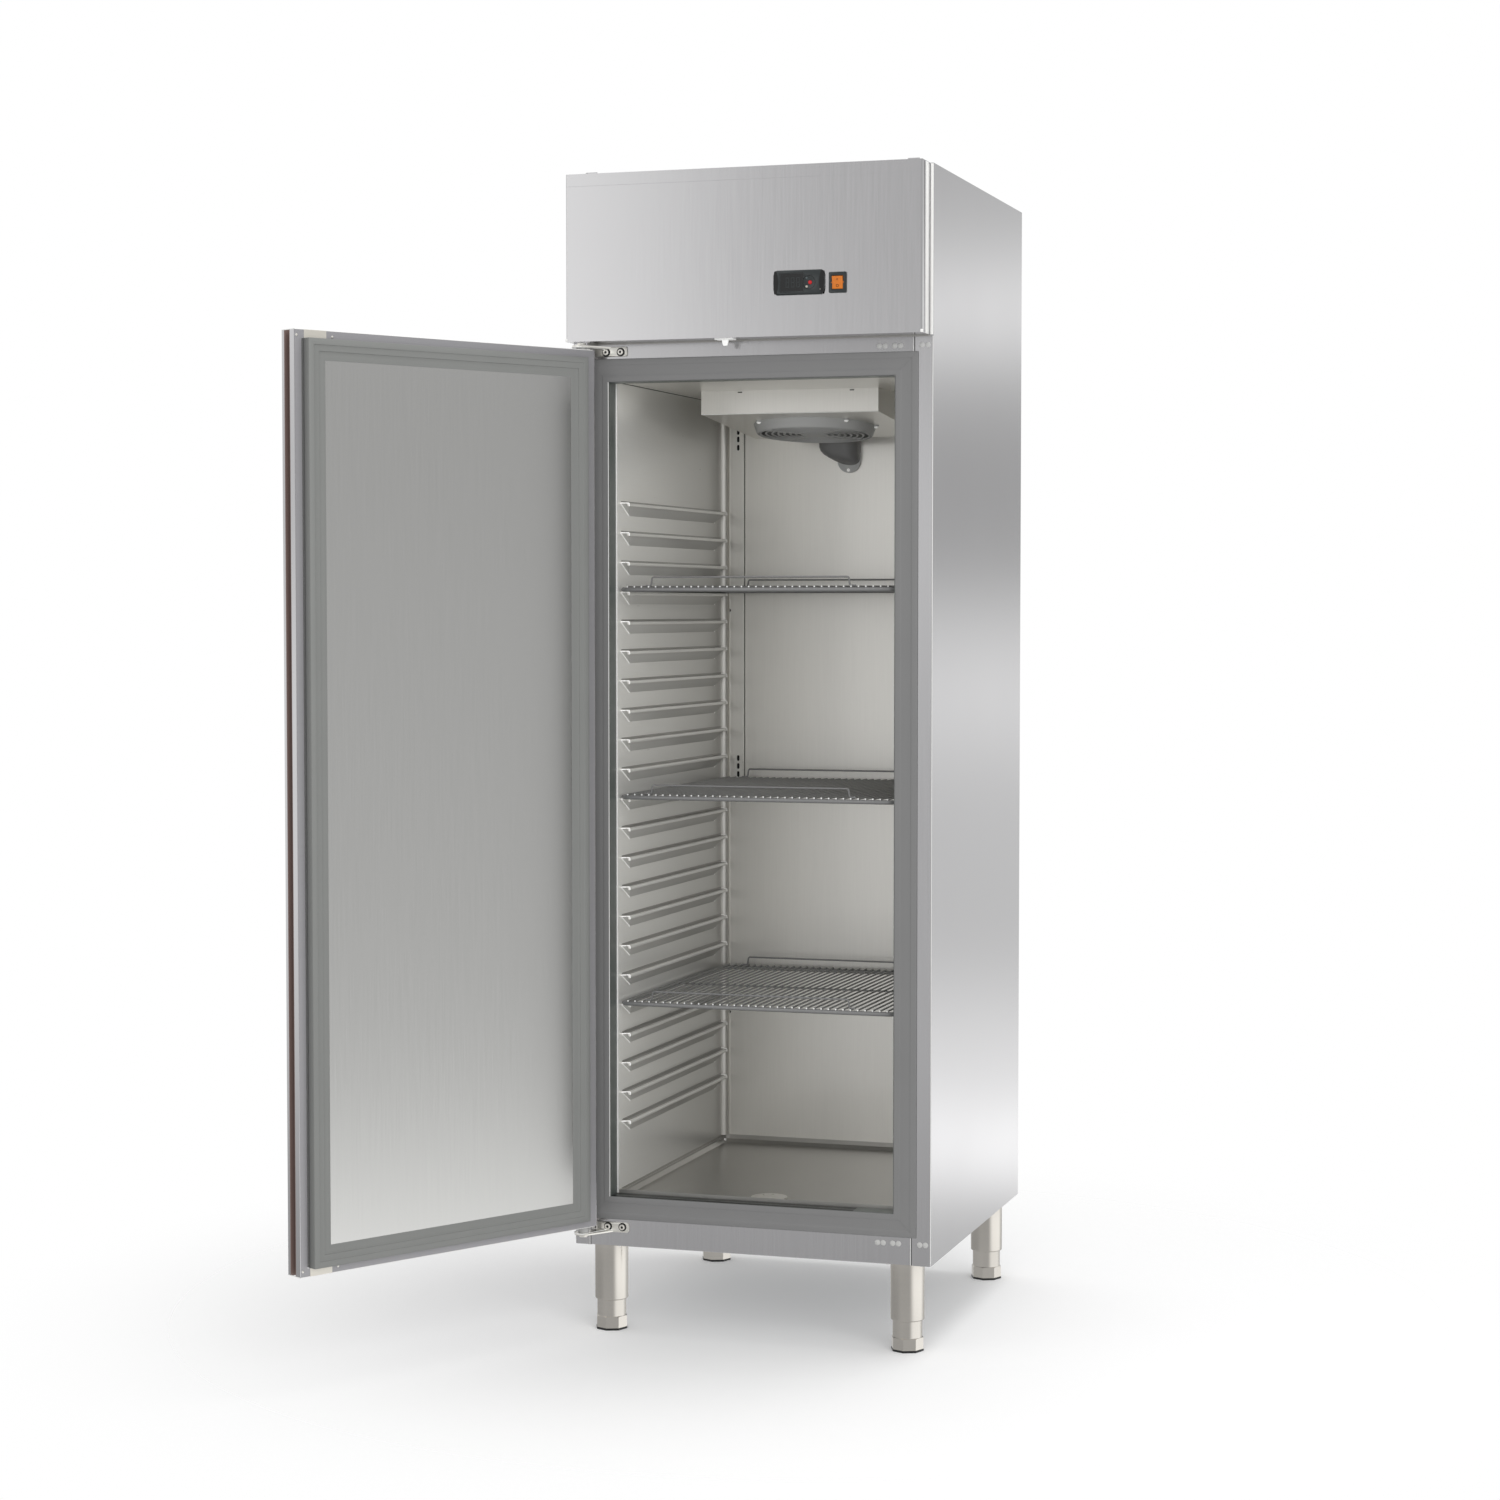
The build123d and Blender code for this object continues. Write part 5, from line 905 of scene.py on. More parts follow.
class ShelfOperator(bpy.types.Operator):
    """Make the three wire shelves"""

    bl_idname = "refrigerator.shelves"
    bl_label = "Wire shelves"

    def execute(self, context):
        for place in ("upper", "middle", "lower"):
            self.add_shelf(context, "shelf_" + place, context.scene.refrigerator_shelves)
        return {"FINISHED"}

    def add_shelf(self, context, node, sizes):
        """A rod loop, wires from front to back on it, a cross rod under them and two stop wires."""
        low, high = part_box(node)
        rod, wire = sizes.rod_radius, sizes.wire_radius
        sunk, overlap, tip_height = 0.5 * MM, 0.6 * rod, 0.8 * MM
        rod_z = low.z + rod
        wire_z = low.z + 2 * rod - sunk + wire
        left, right = low.x + rod, high.x - rod
        front, rear = low.y + rod, high.y - rod
        bm, ends = bmesh.new(), bmesh.new()
        corners = [(left, front), (right, front), (right, rear), (left, rear)]
        loop = rounded_path([(x, y, rod_z) for x, y in corners], sizes.corner_radius, closed=True)
        tube(bm, loop, rod, closed=True, segments=14)
        for i in range(sizes.wire_count):
            x = (i - (sizes.wire_count - 1) / 2) * sizes.wire_pitch
            tip = (x, front - overlap, wire_z)
            tube(bm, [tip, (x, rear + overlap, wire_z)], wire)
            screw_dome(ends, tip, FORWARD, wire * 0.95, tip_height, segments=10)
        middle = (front + rear) / 2
        under = wire_z - 2 * wire
        tube(bm, [(left, middle, under), (right, middle, under)], wire)
        for y in (low.y + sizes.stop_setback, high.y - sizes.stop_setback):
            self.add_stop(bm, y, wire_z, sizes)
        piece(context, "wire_" + node, bm, "shelf_wire", node, node)
        # The round tips of the wires have a painted highlight
        piece(context, "wire_ends_" + node, ends, "shelf_wire", node, look="bright_edge")

    def add_stop(self, bm, y, wire_z, sizes):
        """A stop wire that stands up from the wires and turns down at both ends."""
        half, foot, lean, bend = sizes.stop_length / 2, 10 * MM, 2 * MM, 3.5 * MM
        base, top = wire_z + sizes.wire_radius, wire_z + sizes.stop_height
        steps = [(-half - foot, base), (-half, base), (-half + lean, top)]
        steps += [(-x, z) for x, z in reversed(steps)]
        line = [(sizes.stop_centre + x, y, z) for x, z in steps]
        tube(bm, rounded_path(line, bend), sizes.wire_radius)


class LegOperator(bpy.types.Operator):
    """Make the legs, and the feet that screw out of them"""

    bl_idname = "refrigerator.legs"
    bl_label = "Legs and feet"

    def execute(self, context):
        sizes = context.scene.refrigerator_legs
        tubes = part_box("leg_tubes")
        bm = bmesh.new()
        for corner in ("front_left", "front_right", "rear_left", "rear_right"):
            low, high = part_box("foot_" + corner)
            centre = Vector(((low.x + high.x) / 2, (low.y + high.y) / 2, 0))
            radius = abs(tubes[1].x) - abs(centre.x)
            self.add_sleeve(bm, centre, radius, tubes[0].z, tubes[1].z, sizes.sleeve_lip)
            name = "foot_" + corner
            apothem = (high.x - low.x) / 2
            self.add_foot(context, name, centre, apothem, high.z, sizes)
            self.add_pad(context, name, centre, apothem, sizes.pad_height)
        piece(context, "leg_sleeves", bm, "leg_nickel", "cabinet", "leg_tubes")
        return {"FINISHED"}

    def add_sleeve(self, bm, centre, radius, bottom, top, lip):
        """A fixed tube with a rolled lower edge."""
        rim, recess = 0.4 * MM, 4 * MM
        profile = [(0, top), (radius, top), (radius, bottom + lip)]
        for angle in angles(4, pi / 2, start=pi / 8):
            profile.append((radius - lip * (1 - cos(angle)), bottom + lip * (1 - sin(angle))))
        inner = radius - lip - rim
        profile += [(inner, bottom), (inner, top - recess), (0, top - recess)]
        lathe(bm, profile, centre, segments=64)

    def add_foot(self, context, name, centre, apothem, top, sizes):
        """An inner tube, with an eight-sided nut whose upper corners are turned off."""
        tube_radius, edge_round, count = 24 * MM, 1 * MM, 64
        shoulder, steepness = sizes.nut_top, 1.2
        bm = bmesh.new()
        profile = [(tube_radius, shoulder - edge_round), (tube_radius, top - edge_round)]
        lathe(bm, profile + [(tube_radius - edge_round, top), (0, top)], centre, segments=count)
        rings = [[], [], []]
        for angle in angles(count):
            radius = apothem / cos(angle % (pi / 4) - pi / 8)
            drop = max(0.0, radius - 0.985 * sizes.nut_round) * steepness
            spots = [(radius, sizes.pad_height), (radius, shoulder - 0.6 * MM - drop)]
            spots.append((tube_radius - 0.5 * MM, shoulder))
            for ring, (reach, height) in zip(rings, spots):
                spot = Vector((cos(angle) * reach, sin(angle) * reach, height))
                ring.append(bm.verts.new(centre + spot))
        join_rings(bm, rings)
        bm.faces.new(list(reversed(rings[0])))
        piece(context, name + "_nut", bm, "leg_nickel", name, name)

    def add_pad(self, context, name, centre, apothem, height):
        """The dark pad that a foot stands on."""
        reach = (apothem + 0.5 * MM) / cos(pi / 8)
        bm = bmesh.new()
        rings = []
        for radius, level in ((reach - 1 * MM, 0), (reach, 0.8 * MM), (reach, height)):
            spots = [Vector((cos(a) * radius, sin(a) * radius, level)) for a in angles(8)]
            rings.append([bm.verts.new(centre + spot) for spot in spots])
        join_rings(bm, rings)
        close_ends(bm, rings[0], rings[-1])
        piece(context, name + "_pad", bm, "black_plastic", name, smooth=40)


class FanOperator(bpy.types.Operator):
    """Make the guard under the evaporator fan and the cover of the drain"""

    bl_idname = "refrigerator.fan"
    bl_label = "Fan guard and drain cover"

    def execute(self, context):
        self.add_guard(context)
        self.add_drain_cover(context)
        return {"FINISHED"}

    def add_guard(self, context):
        """A tapered skirt with concentric rings, crossed spokes, and ears with screws."""
        low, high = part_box("fan_guard")
        slope = radians(4.637)
        axis = Vector((0, -sin(slope), -cos(slope)))
        centre = Vector(((low.x + high.x) / 2, 116.2 * MM, 1502.27 * MM))
        wide, narrow, height, wall = 106.0, 100.0, 17.0, 2.0
        ring_count, first_ring, ring_pitch = 7, 34.4, 10.4
        bm = bmesh.new()
        skirt = [
            (wide - wall, 0), (wide, 0), (narrow + 1.2, height - 3), (narrow, height - 1),
            (narrow - 1.5, height), (narrow - wall - 0.6, height - 0.6), (wide - wall, 0.01),
        ]
        lathe(bm, in_mm(skirt), centre, axis, segments=96)
        for i in range(ring_count):
            middle = first_ring + ring_pitch * i - 2.2
            section = [(middle + 2.0 * cos(a), height - 1.6 + 1.3 * sin(a)) for a in angles(8)]
            lathe(bm, in_mm(section + section[:1]), centre, axis, segments=96)
        hub = [(0, height - 3), (23, height - 3), (24, height - 1), (22.5, height), (0, height)]
        lathe(bm, in_mm(hub), centre, axis, segments=64)
        look = "guard_plastic"
        piece(context, "guard_rings", bm, "frame_grey_plastic", "cabinet", "fan_guard", look=look)
        self.add_spokes(context, centre + axis * (height - 1.6) * MM, axis, narrow * MM)
        self.add_ears(context, centre, axis, wide * MM)

    def add_spokes(self, context, centre, axis, reach):
        """Two flat bars across the rings, at right angles."""
        end = Vector((reach - 1.5 * MM, 4.5 * MM, 1.4 * MM))
        turn = Vector(DOWN).rotation_difference(axis).to_matrix().to_4x4()
        bm = bmesh.new()
        for angle in (45, -45):
            arm = bmesh.new()
            block(arm, -end, end, 0.8 * MM)
            spin = Matrix.Rotation(radians(angle), 4, "Z")
            arm.transform(Matrix.Translation(centre) @ turn @ spin)
            mesh = bpy.data.meshes.new("arm")
            arm.to_mesh(mesh)
            arm.free()
            bm.from_mesh(mesh)
            bpy.data.meshes.remove(mesh)
        piece(context, "guard_spokes", bm, "frame_grey_plastic", "cabinet", look="guard_plastic")

    def add_ears(self, context, centre, axis, wide):
        """Ears on the skirt, with a screw in each that has a painted glint."""
        ears, screws = bmesh.new(), bmesh.new()
        profile = in_mm([(0, 0), (5, 0), (5, 1.6), (4, 2.4), (0, 2.4)])
        sunk_top, screw_radius, screw_height = 2.2 * MM, 4.0 * MM, 3.4 * MM
        for angle in (222, 316, 5, 110):
            spot = Vector((cos(radians(angle)), sin(radians(angle)), 0))
            spot = (spot - axis * spot.dot(axis)).normalized()
            place = centre + spot * (wide + 1 * MM)
            lathe(ears, profile, place, axis, segments=32)
            screw_dome(screws, place + axis * sunk_top, axis, screw_radius, screw_height)
        piece(context, "guard_ears", ears, "frame_grey_plastic", "cabinet", look="guard_plastic")
        piece(context, "guard_screws", screws, "hinge_steel", "cabinet", look="fold_glint")

    def add_drain_cover(self, context):
        """The smooth moulded hood over the drain pipe, its round flange on the wall, and a screw."""
        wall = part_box("drain_elbow")[1].y
        right, steps = 20.0, 28
        squareness_across, squareness_out = 0.75, 0.6
        # Height, left side, right side and depth of each level of the hood, in millimetres
        levels = (
            (1490.2, -53.2, right, 38.0), (1481.0, -53.4, right, 38.0), (1472.6, -53.0, right, 37.5),
            (1466.0, -50.6, right, 37.0), (1459.7, -44.8, right, 36.0), (1454.0, -35.8, right, 33.5),
            (1448.6, -26.0, 19.2, 28.5), (1445.0, -18.0, 17.0, 22.0), (1442.0, -9.5, 13.0, 14.0),
            (1440.6, -2.0, 7.0, 5.0),
        )
        rings = []
        bm = bmesh.new()
        for level, left, far, depth in levels:
            middle, half = (left + far) / 2, (far - left) / 2
            ring = []
            for k in range(steps + 1):
                angle = pi * k / steps
                across = -cos(angle)
                across = abs(across) ** squareness_across * (1 if across > 0 else -1)
                out = sin(angle) ** squareness_out
                spot = (middle + half * across, wall / MM - depth * out, level)
                ring.append(bm.verts.new(Vector(spot) * MM))
            rings.append(ring)
        join_rings(bm, rings)
        close_ends(bm, rings[-1], rings[0])
        slot, look = "frame_grey_plastic", "hood_plastic"
        piece(context, "drain_cover", bm, slot, "cabinet", "drain_elbow", smooth=50, look=look)
        self.add_flange(context, wall)

    def add_flange(self, context, wall):
        """The flange round the foot of the hood, rounded below, and its screw, which has a painted glint.
        """
        lobe, thick, count = 21.0 * MM, 5 * MM, 48
        middle, level, top = -0.5 * MM, 1448.0 * MM, 1462.0 * MM
        screw_x, screw_z, screw_radius, screw_height = -1.5 * MM, 1431.8 * MM, 3.0 * MM, 2.2 * MM
        front = wall - thick
        flange, screw = bmesh.new(), bmesh.new()
        outline = []
        for k in range(count):
            angle = pi + pi * k / (count - 1)
            outline.append((middle + cos(angle) * lobe, front, level + sin(angle) * lobe))
        outline += [(middle + lobe, front, top), (middle - lobe, front, top)]
        prism(flange, outline, (0, thick, 0))
        look = "guard_plastic"
        piece(context, "drain_cover_flange", flange, "frame_grey_plastic", "cabinet", look=look)
        screw_dome(screw, (screw_x, front, screw_z), FORWARD, screw_radius, screw_height)
        piece(context, "drain_cover_screw", screw, "hinge_steel", "cabinet", look="fold_glint")


class HingeOperator(bpy.types.Operator):
    """Make the hinge plates, their screws and the plugs in the spare holes"""

    bl_idname = "refrigerator.hinges"
    bl_label = "Hinge hardware"

    def execute(self, context):
        bm = copied_solid("hinge_brackets", 0.7 * MM)
        piece(context, "hinge_plates", bm, "hinge_steel", "cabinet", "hinge_brackets")
        self.add_screws(context)
        self.add_arm_edges(context)
        self.add_plugs(context)
        return {"FINISHED"}

    def add_screws(self, context):
        """Round heads, each in a dark ring of painted shade, with painted shade in the floor of its
        six-sided socket.
        """
        low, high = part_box("hinge_screws")
        edge, depth, columns = 5.6 * MM, 2.2 * MM, (-242.5 * MM, -217.5 * MM)
        plate = BODY_FRONT - 3.0 * MM
        # Painted shade: a dark ring round each head and a dark disc at the floor of each socket
        shade_ring = in_mm([(4.6, -0.6), (6.9, -0.6), (6.9, 0.25), (6.4, 0.45), (4.6, 0.2), (4.6, -0.6)])
        socket_shade = in_mm([(0, 0), (2.1, 0), (2.1, 0.5), (0, 0.5)])
        bm, dark = bmesh.new(), bmesh.new()
        for x in columns:
            for z in (low.z + edge, high.z - edge):
                self.add_socket_screw(bm, Vector((x, low.y, z)), depth)
                lathe(dark, shade_ring, (x, plate, z), FORWARD, segments=36)
                lathe(dark, socket_shade, (x, low.y + depth - 0.05 * MM, z), FORWARD, segments=18)
        piece(context, "screw_shade_rings", dark, "motor_black", "cabinet")
        piece(context, "socket_screws", bm, "hinge_steel", "cabinet", "hinge_screws", smooth=30)

    def add_socket_screw(self, bm, tip, depth):
        """One screw head that faces the front, with its face at the tip point."""
        head, socket, chamfer, rim = 4.7 * MM, 2.3 * MM, 0.8 * MM, 0.3 * MM
        rings = [[] for _ in range(6)]
        for angle in angles(36):
            hexagon = socket * cos(pi / 6) / cos(angle % (pi / 3) - pi / 6)
            across = Vector((cos(angle), 0, sin(angle)))
            steps = [(head, 3.6 * MM), (head, chamfer), (head - chamfer, 0)]
            steps += [(hexagon + rim, 0), (hexagon, rim), (hexagon, depth)]
            for ring, (radius, back) in zip(rings, steps):
                ring.append(bm.verts.new(tip + across * radius + Vector((0, back, 0))))
        join_rings(bm, rings)
        close_ends(bm, rings[0], rings[-1])

    def add_arm_edges(self, context):
        """A painted highlight along the rolled edge round each hinge arm, and a ball of painted highlight
        at the nose where it bends to its plate.
        """
        reach, bend, nose = 15.0 * MM, -246.0 * MM, 2.2 * MM
        start, sweep, steps = 165, 125, 12
        bm = bmesh.new()
        for height in (1605.3 * MM, 171.2 * MM):
            line = []
            for k in range(steps + 1):
                angle = radians(start + sweep * k / steps)
                line.append(HINGE_AXIS + Vector((cos(angle) * reach, sin(angle) * reach, height)))
            line += [(bend, BODY_FRONT - 4.5 * MM, height), (bend + 10 * MM, BODY_FRONT - 3.2 * MM, height)]
            tube(bm, line, 0.9 * MM, segments=8)
            ball(bm, (bend, BODY_FRONT - 4.6 * MM, height), nose, 16)
        piece(context, "hinge_arm_edges", bm, "hinge_steel", "cabinet", look="bright_edge")

    def add_plugs(self, context):
        """Pairs of domed plugs."""
        low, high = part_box("hole_plugs")
        radius, height, half_pitch = 4.6 * MM, 1.5 * MM, 4.65 * MM
        columns = (217.5 * MM, 242.5 * MM, 286.8 * MM)
        bm = bmesh.new()
        for x in columns:
            for z in (low.z + radius, high.z - radius):
                for side in SIDES:
                    spot = (x + side * half_pitch, high.y, z)
                    screw_dome(bm, spot, FORWARD, radius, height, segments=28)
        piece(context, "domed_plugs", bm, "plug_plastic", "cabinet", "hole_plugs")


class ControlOperator(bpy.types.Operator):
    """Make the controller and the switch on the fascia"""

    bl_idname = "refrigerator.controls"
    bl_label = "Controls"

    def execute(self, context):
        edge, look = 0.5 * MM, "control_plastic"
        bm = copied_solid("controller_housing", edge)
        piece(context, "controller_bezel", bm, "black_plastic", "fascia", "controller_housing", look=look)
        self.add_keys(context)
        self.add_rims(context)
        bm = copied_solid("switch_rocker", edge)
        surface = BVHTree.FromBMesh(bm)
        piece(context, "rocker_cap", bm, "rocker_orange", "rocker", "switch_rocker")
        self.add_marks(context, surface)
        bm = copied_solid("switch_frame", edge)
        piece(context, "switch_bezel", bm, "black_plastic", "fascia", "switch_frame", look=look)
        return {"FINISHED"}

    def add_keys(self, context):
        """Domed caps of the three keys."""
        for node, slot in (("key_power", "key_red"), ("key_up", "key_grey"), ("key_down", "key_pale")):
            low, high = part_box(node)
            radius, height = (high.x - low.x) / 2, high.y - low.y
            centre = ((low.x + high.x) / 2, high.y, (low.z + high.z) / 2)
            profile = [(0, 0), (radius, 0), (radius, height - 0.7 * MM)]
            profile += [(radius * 0.8, height - 0.2 * MM), (radius * 0.4, height), (0, height)]
            bm = bmesh.new()
            lathe(bm, profile, centre, FORWARD, segments=32)
            piece(context, node + "_cap", bm, slot, node, node)

    def add_rims(self, context):
        """The raised rim round the window, the ring round the keys, the end pieces and a pale lamp."""
        low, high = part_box("controller_housing")
        face, rim, gap = low.y, 0.45 * MM, 1.2 * MM
        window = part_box("controller_window")
        left, right = window[0].x - gap, window[1].x + gap
        bottom, top = window[0].z - gap, window[1].z + gap
        corners = [(left, face, bottom), (right, face, bottom), (right, face, top), (left, face, top)]
        bm, ends, lamp = bmesh.new(), bmesh.new(), bmesh.new()
        tube(bm, rounded_path(corners, 2.0 * MM, closed=True), rim, closed=True, segments=8)
        ring = front_ring((112.6 * MM, face, 1695.8 * MM), 10.4 * MM, 48)
        tube(bm, ring, rim, closed=True, segments=8)
        piece(context, "controller_rims", bm, "display_window", "fascia")
        # Distance in from the end and height of each corner of an end piece, which is waisted
        outline = in_mm([
            (5.0, 0.9), (2.2, 1.6), (0.7, 8.0), (0.5, 19.35), (0.7, 30.7), (2.2, 37.1), (5.0, 37.8),
            (7.6, 29.0), (8.6, 19.35), (7.6, 9.7),
        ])
        for side, edge in zip(SIDES, (low.x, high.x)):
            spots = [(edge - side * u, face + 0.2 * MM, low.z + v) for u, v in outline]
            prism(ends, spots, (0, -0.6 * MM, 0))
        piece(context, "controller_ends", ends, "black_plastic", "fascia")
        self.add_digits(context, window)
        screw_dome(lamp, (131.5 * MM, face, 1684.4 * MM), FORWARD, 0.9 * MM, 0.6 * MM)
        piece(context, "controller_lamp", lamp, "key_pale", "fascia")

    def add_digits(self, context, window):
        """The unlit bars of three figures in the window."""
        wide, tall, bar, pitch = 5.6 * MM, 15.6 * MM, 1.1 * MM, 8.6 * MM
        sunk, thick = 0.15 * MM, 0.3 * MM
        half = (tall - bar) / 2
        bars = [(0, level, wide, bar) for level in (0, half, tall - bar)]
        bars += [(x, level, bar, half - bar) for level in (bar, bar + half) for x in (0, wide - bar)]
        bottom = (window[0].z + window[1].z - tall) / 2
        bm = bmesh.new()
        for i in range(3):
            left = window[0].x + pitch * (i + 1)
            for x, z, width, height in bars:
                corner = Vector((left + x, window[0].y - sunk, bottom + z))
                block(bm, corner, corner + Vector((width, thick, height)))
        piece(context, "display_bars", bm, "display_window", "fascia", look="control_plastic")

    def add_marks(self, context, surface):
        """The plain ON and OFF marks of the rocker, a bar above a ring."""
        low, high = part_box("switch_rocker")
        centres = []
        for rise in (0.76, 0.24):
            start = Vector(((low.x + high.x) / 2, low.y - 5 * MM, low.z + (high.z - low.z) * rise))
            centres.append(surface.ray_cast(start, (0, 1, 0))[0])
        bm = bmesh.new()
        bar = centres[0]
        block(bm, bar - Vector((0.5, 0.25, 2.0)) * MM, bar + Vector((0.5, 0.2, 2.0)) * MM)
        tube(bm, front_ring(centres[1], 1.9 * MM, 24), 0.35 * MM, closed=True, segments=6)
        piece(context, "rocker_marks", bm, "black_plastic", "rocker")


class FrameOperator(bpy.types.Operator):
    """Round the edges of the plastic frame and the gasket, and dress the frame"""

    bl_idname = "refrigerator.edges"
    bl_label = "Frame and gasket"

    def execute(self, context):
        opening = (239.0 * MM, 226.7 * MM, 1551.3 * MM)
        bm = copied_solid("breaker_frame", 1.0 * MM)
        piece(context, "frame_profile", bm, "frame_grey_plastic", "cabinet", "breaker_frame")
        self.add_mitre_gaps(context, opening)
        self.add_returns(context, opening)
        bm = copied_solid("door_gasket", 0.6 * MM)
        piece(context, "gasket_profile", bm, "gasket_rubber", "door", "door_gasket")
        return {"FINISHED"}

    def add_mitre_gaps(self, context, opening):
        """Dark lines across the frame's corners, where its four lengths meet."""
        low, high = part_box("breaker_frame")
        half, bottom, top = opening
        thin = 0.26 * MM
        deep = Vector((0, 0.2 * MM, 0))
        bm = bmesh.new()
        for side in SIDES:
            for far, near in ((low.z, bottom), (high.z, top)):
                way = -side if far < near else side
                rise = near - far
                start = Vector((side * (high.x - 1.5 * MM), FRAME_FRONT, far + rise * 0.04)) + deep
                end = Vector((side * (half + 1.2 * MM), FRAME_FRONT, near - rise * 0.03)) + deep
                across = Vector((thin, 0, thin * way))
                prism(bm, [start - across, start + across, end + across, end - across], (0, -thin, 0))
        piece(context, "frame_mitre_gaps", bm, "black_plastic", "cabinet")

    def add_returns(self, context, opening):
        """Painted shade on the inner faces of the frame, and a painted highlight down its inner corner at
        the hinge side.
        """
        half, bottom, top = opening
        front, rear = FRAME_FRONT + 1.2 * MM, LINER_FRONT - 3.4 * MM
        skin, sunk = 0.3 * MM, 0.1 * MM
        bm, lines, gaps = bmesh.new(), bmesh.new(), bmesh.new()
        for side in SIDES:
            block(bm, (side * (half - skin), front, bottom), (side * (half + sunk), rear, top))
        block(bm, (-half, front, bottom - sunk), (half, rear, bottom + skin))
        block(bm, (-half, front, top - skin), (half, rear, top + sunk))
        x, y = -half - 0.35 * MM, FRAME_FRONT + 0.4 * MM
        tube(lines, [(x, y, bottom), (x, y, top)], 0.6 * MM, segments=8)
        level = bottom + skin
        for near, far in in_mm([(0.4, 11.0), (16.0, 29.0)]):
            corner = (-half + 1 * MM, front + near, level - sunk)
            block(gaps, corner, (0.72 * half, front + far, level + 0.2 * MM))
        piece(context, "frame_sill_gaps", gaps, "black_plastic", "cabinet")
        piece(context, "frame_return_shade_faces", bm, "frame_grey_plastic", "cabinet", look="return_plastic")
        piece(context, "frame_corner_highlight", lines, "frame_grey_plastic", "cabinet", look="bright_edge")


class LinerOperator(bpy.types.Operator):
    """Make the runners' rolled edges, the seams, the slotted channel and the plugs of the inner walls"""

    bl_idname = "refrigerator.liner"
    bl_label = "Inner walls"

    def execute(self, context):
        self.add_runner_edges(context)
        self.add_hems(context)
        self.add_seams(context)
        self.add_wall_plugs(context)
        self.add_channel(context)
        self.add_housing_trim(context)
        return {"FINISHED"}

    def add_runner_edges(self, context):
        """Every pressed runner's rounded nose with a painted highlight, painted shade along its top crease,
        and a painted glint on the fold round both its ends.
        """
        runner_count, pitch, lowest = 22, 48.4 * MM, 342.1 * MM
        front, rear = -269.5 * MM, 259.2 * MM
        drop, tip, toe = 20.0 * MM, 7.0 * MM, 41.0 * MM
        # Distance in from the wall and height over the runner's top, in millimetres
        nose = (
            (8.5, -0.5), (8.5, 0.12), (11.4, 0.2), (12.6, 0.0), (13.15, -0.7), (13.3, -1.8),
            (13.25, -4.4), (12.8, -5.1), (12.0, -5.3), (9.9, -4.9),
        )
        crease = ((-0.3, 3.6), (0.3, 3.4), (0.5, 0.5), (1.0, 0.15), (8.5, 0.15), (8.5, -0.3), (-0.3, -0.3))
        noses, folds, creases = bmesh.new(), bmesh.new(), bmesh.new()
        for side in SIDES:
            wall = side * LINER_SIDE
            for i in range(runner_count):
                top = lowest + i * pitch
                for target, section, inset in ((noses, nose, tip), (creases, crease, 3.0 * MM)):
                    outline = [(wall - side * u, front + inset, top + v) for u, v in in_mm(section)]
                    prism(target, outline, (0, rear - front - 2 * inset, 0))
                for end, way in ((front, 1), (rear, -1)):
                    line = [
                        (wall, end + way * toe, top - drop),
                        (wall, end, top + 0.1 * MM),
                        (wall - side * 12.4 * MM, end + way * tip, top + 0.1 * MM),
                        (wall - side * 13.1 * MM, end + way * tip, top - 4.8 * MM),
                    ]
                    tube(folds, rounded_path(line, 1.2 * MM, steps=3), 0.95 * MM, segments=6)
        for name, bm, look in (
            ("runner_noses", noses, "runner_nose_steel"),
            ("runner_crease_shades", creases, "crease_steel"),
            ("runner_end_folds", folds, "fold_glint"),
        ):
            piece(context, name, bm, "liner_stainless", "cabinet", smooth=50, look=look)

    def add_hems(self, context):
        """Folded front edges of the inner side sheets, between them and the plastic frame, with a painted
        highlight.
        """
        bm = bmesh.new()
        for side in SIDES:
            corner = (side * (LINER_SIDE - 0.15 * MM), LINER_FRONT - 3.1 * MM, LINER_FLOOR)
            opposite = (side * (LINER_SIDE + 2.0 * MM), LINER_FRONT + 1.2 * MM, LINER_CEILING)
            block(bm, corner, opposite, 0.35 * MM)
        piece(context, "liner_hems", bm, "liner_stainless", "cabinet", look="bright_edge")

    def add_seams(self, context):
        """Sealed seams where the walls meet the floor tray, a painted highlight along the tray's edge and
        down each rear corner, and a ball of painted highlight at the corner's foot.
        """
        seal, folds = bmesh.new(), bmesh.new()
        height, front, rear = LINER_FLOOR + COVE, LINER_FRONT + 2 * MM, LINER_REAR
        corner_inset = COVE * (1 - cos(pi / 4))
        for side in SIDES:
            wall = side * LINER_SIDE
            tube(seal, [(wall, front, height), (wall, rear - COVE, height)], 0.75 * MM, segments=6)
            x, z = wall - side * 0.3 * MM, height - 2.4 * MM
            tube(folds, [(x, front, z), (x, rear - COVE, z)], 0.6 * MM, segments=6)
            x, y = wall - side * corner_inset, rear - corner_inset
            tube(folds, [(x, y, height + 1 * MM), (x, y, LINER_CEILING - 2 * MM)], 1.2 * MM)
            ball(folds, (x - side * 1.0 * MM, y - 1.0 * MM, LINER_FLOOR + 3.2 * MM), 3.4 * MM, 20)
            x, z = wall - side * 0.3 * MM, LINER_CEILING - 0.3 * MM
            tube(seal, [(x, front, z), (x, rear - 2 * MM, z)], 0.8 * MM, segments=6)
        line = [(-LINER_SIDE + COVE, rear, height), (LINER_SIDE - COVE, rear, height)]
        tube(seal, line, 0.7 * MM, segments=6)
        piece(context, "seam_seals", seal, "black_plastic", "cabinet")
        piece(context, "corner_highlight_beads", folds, "liner_stainless", "cabinet", look="bright_edge")

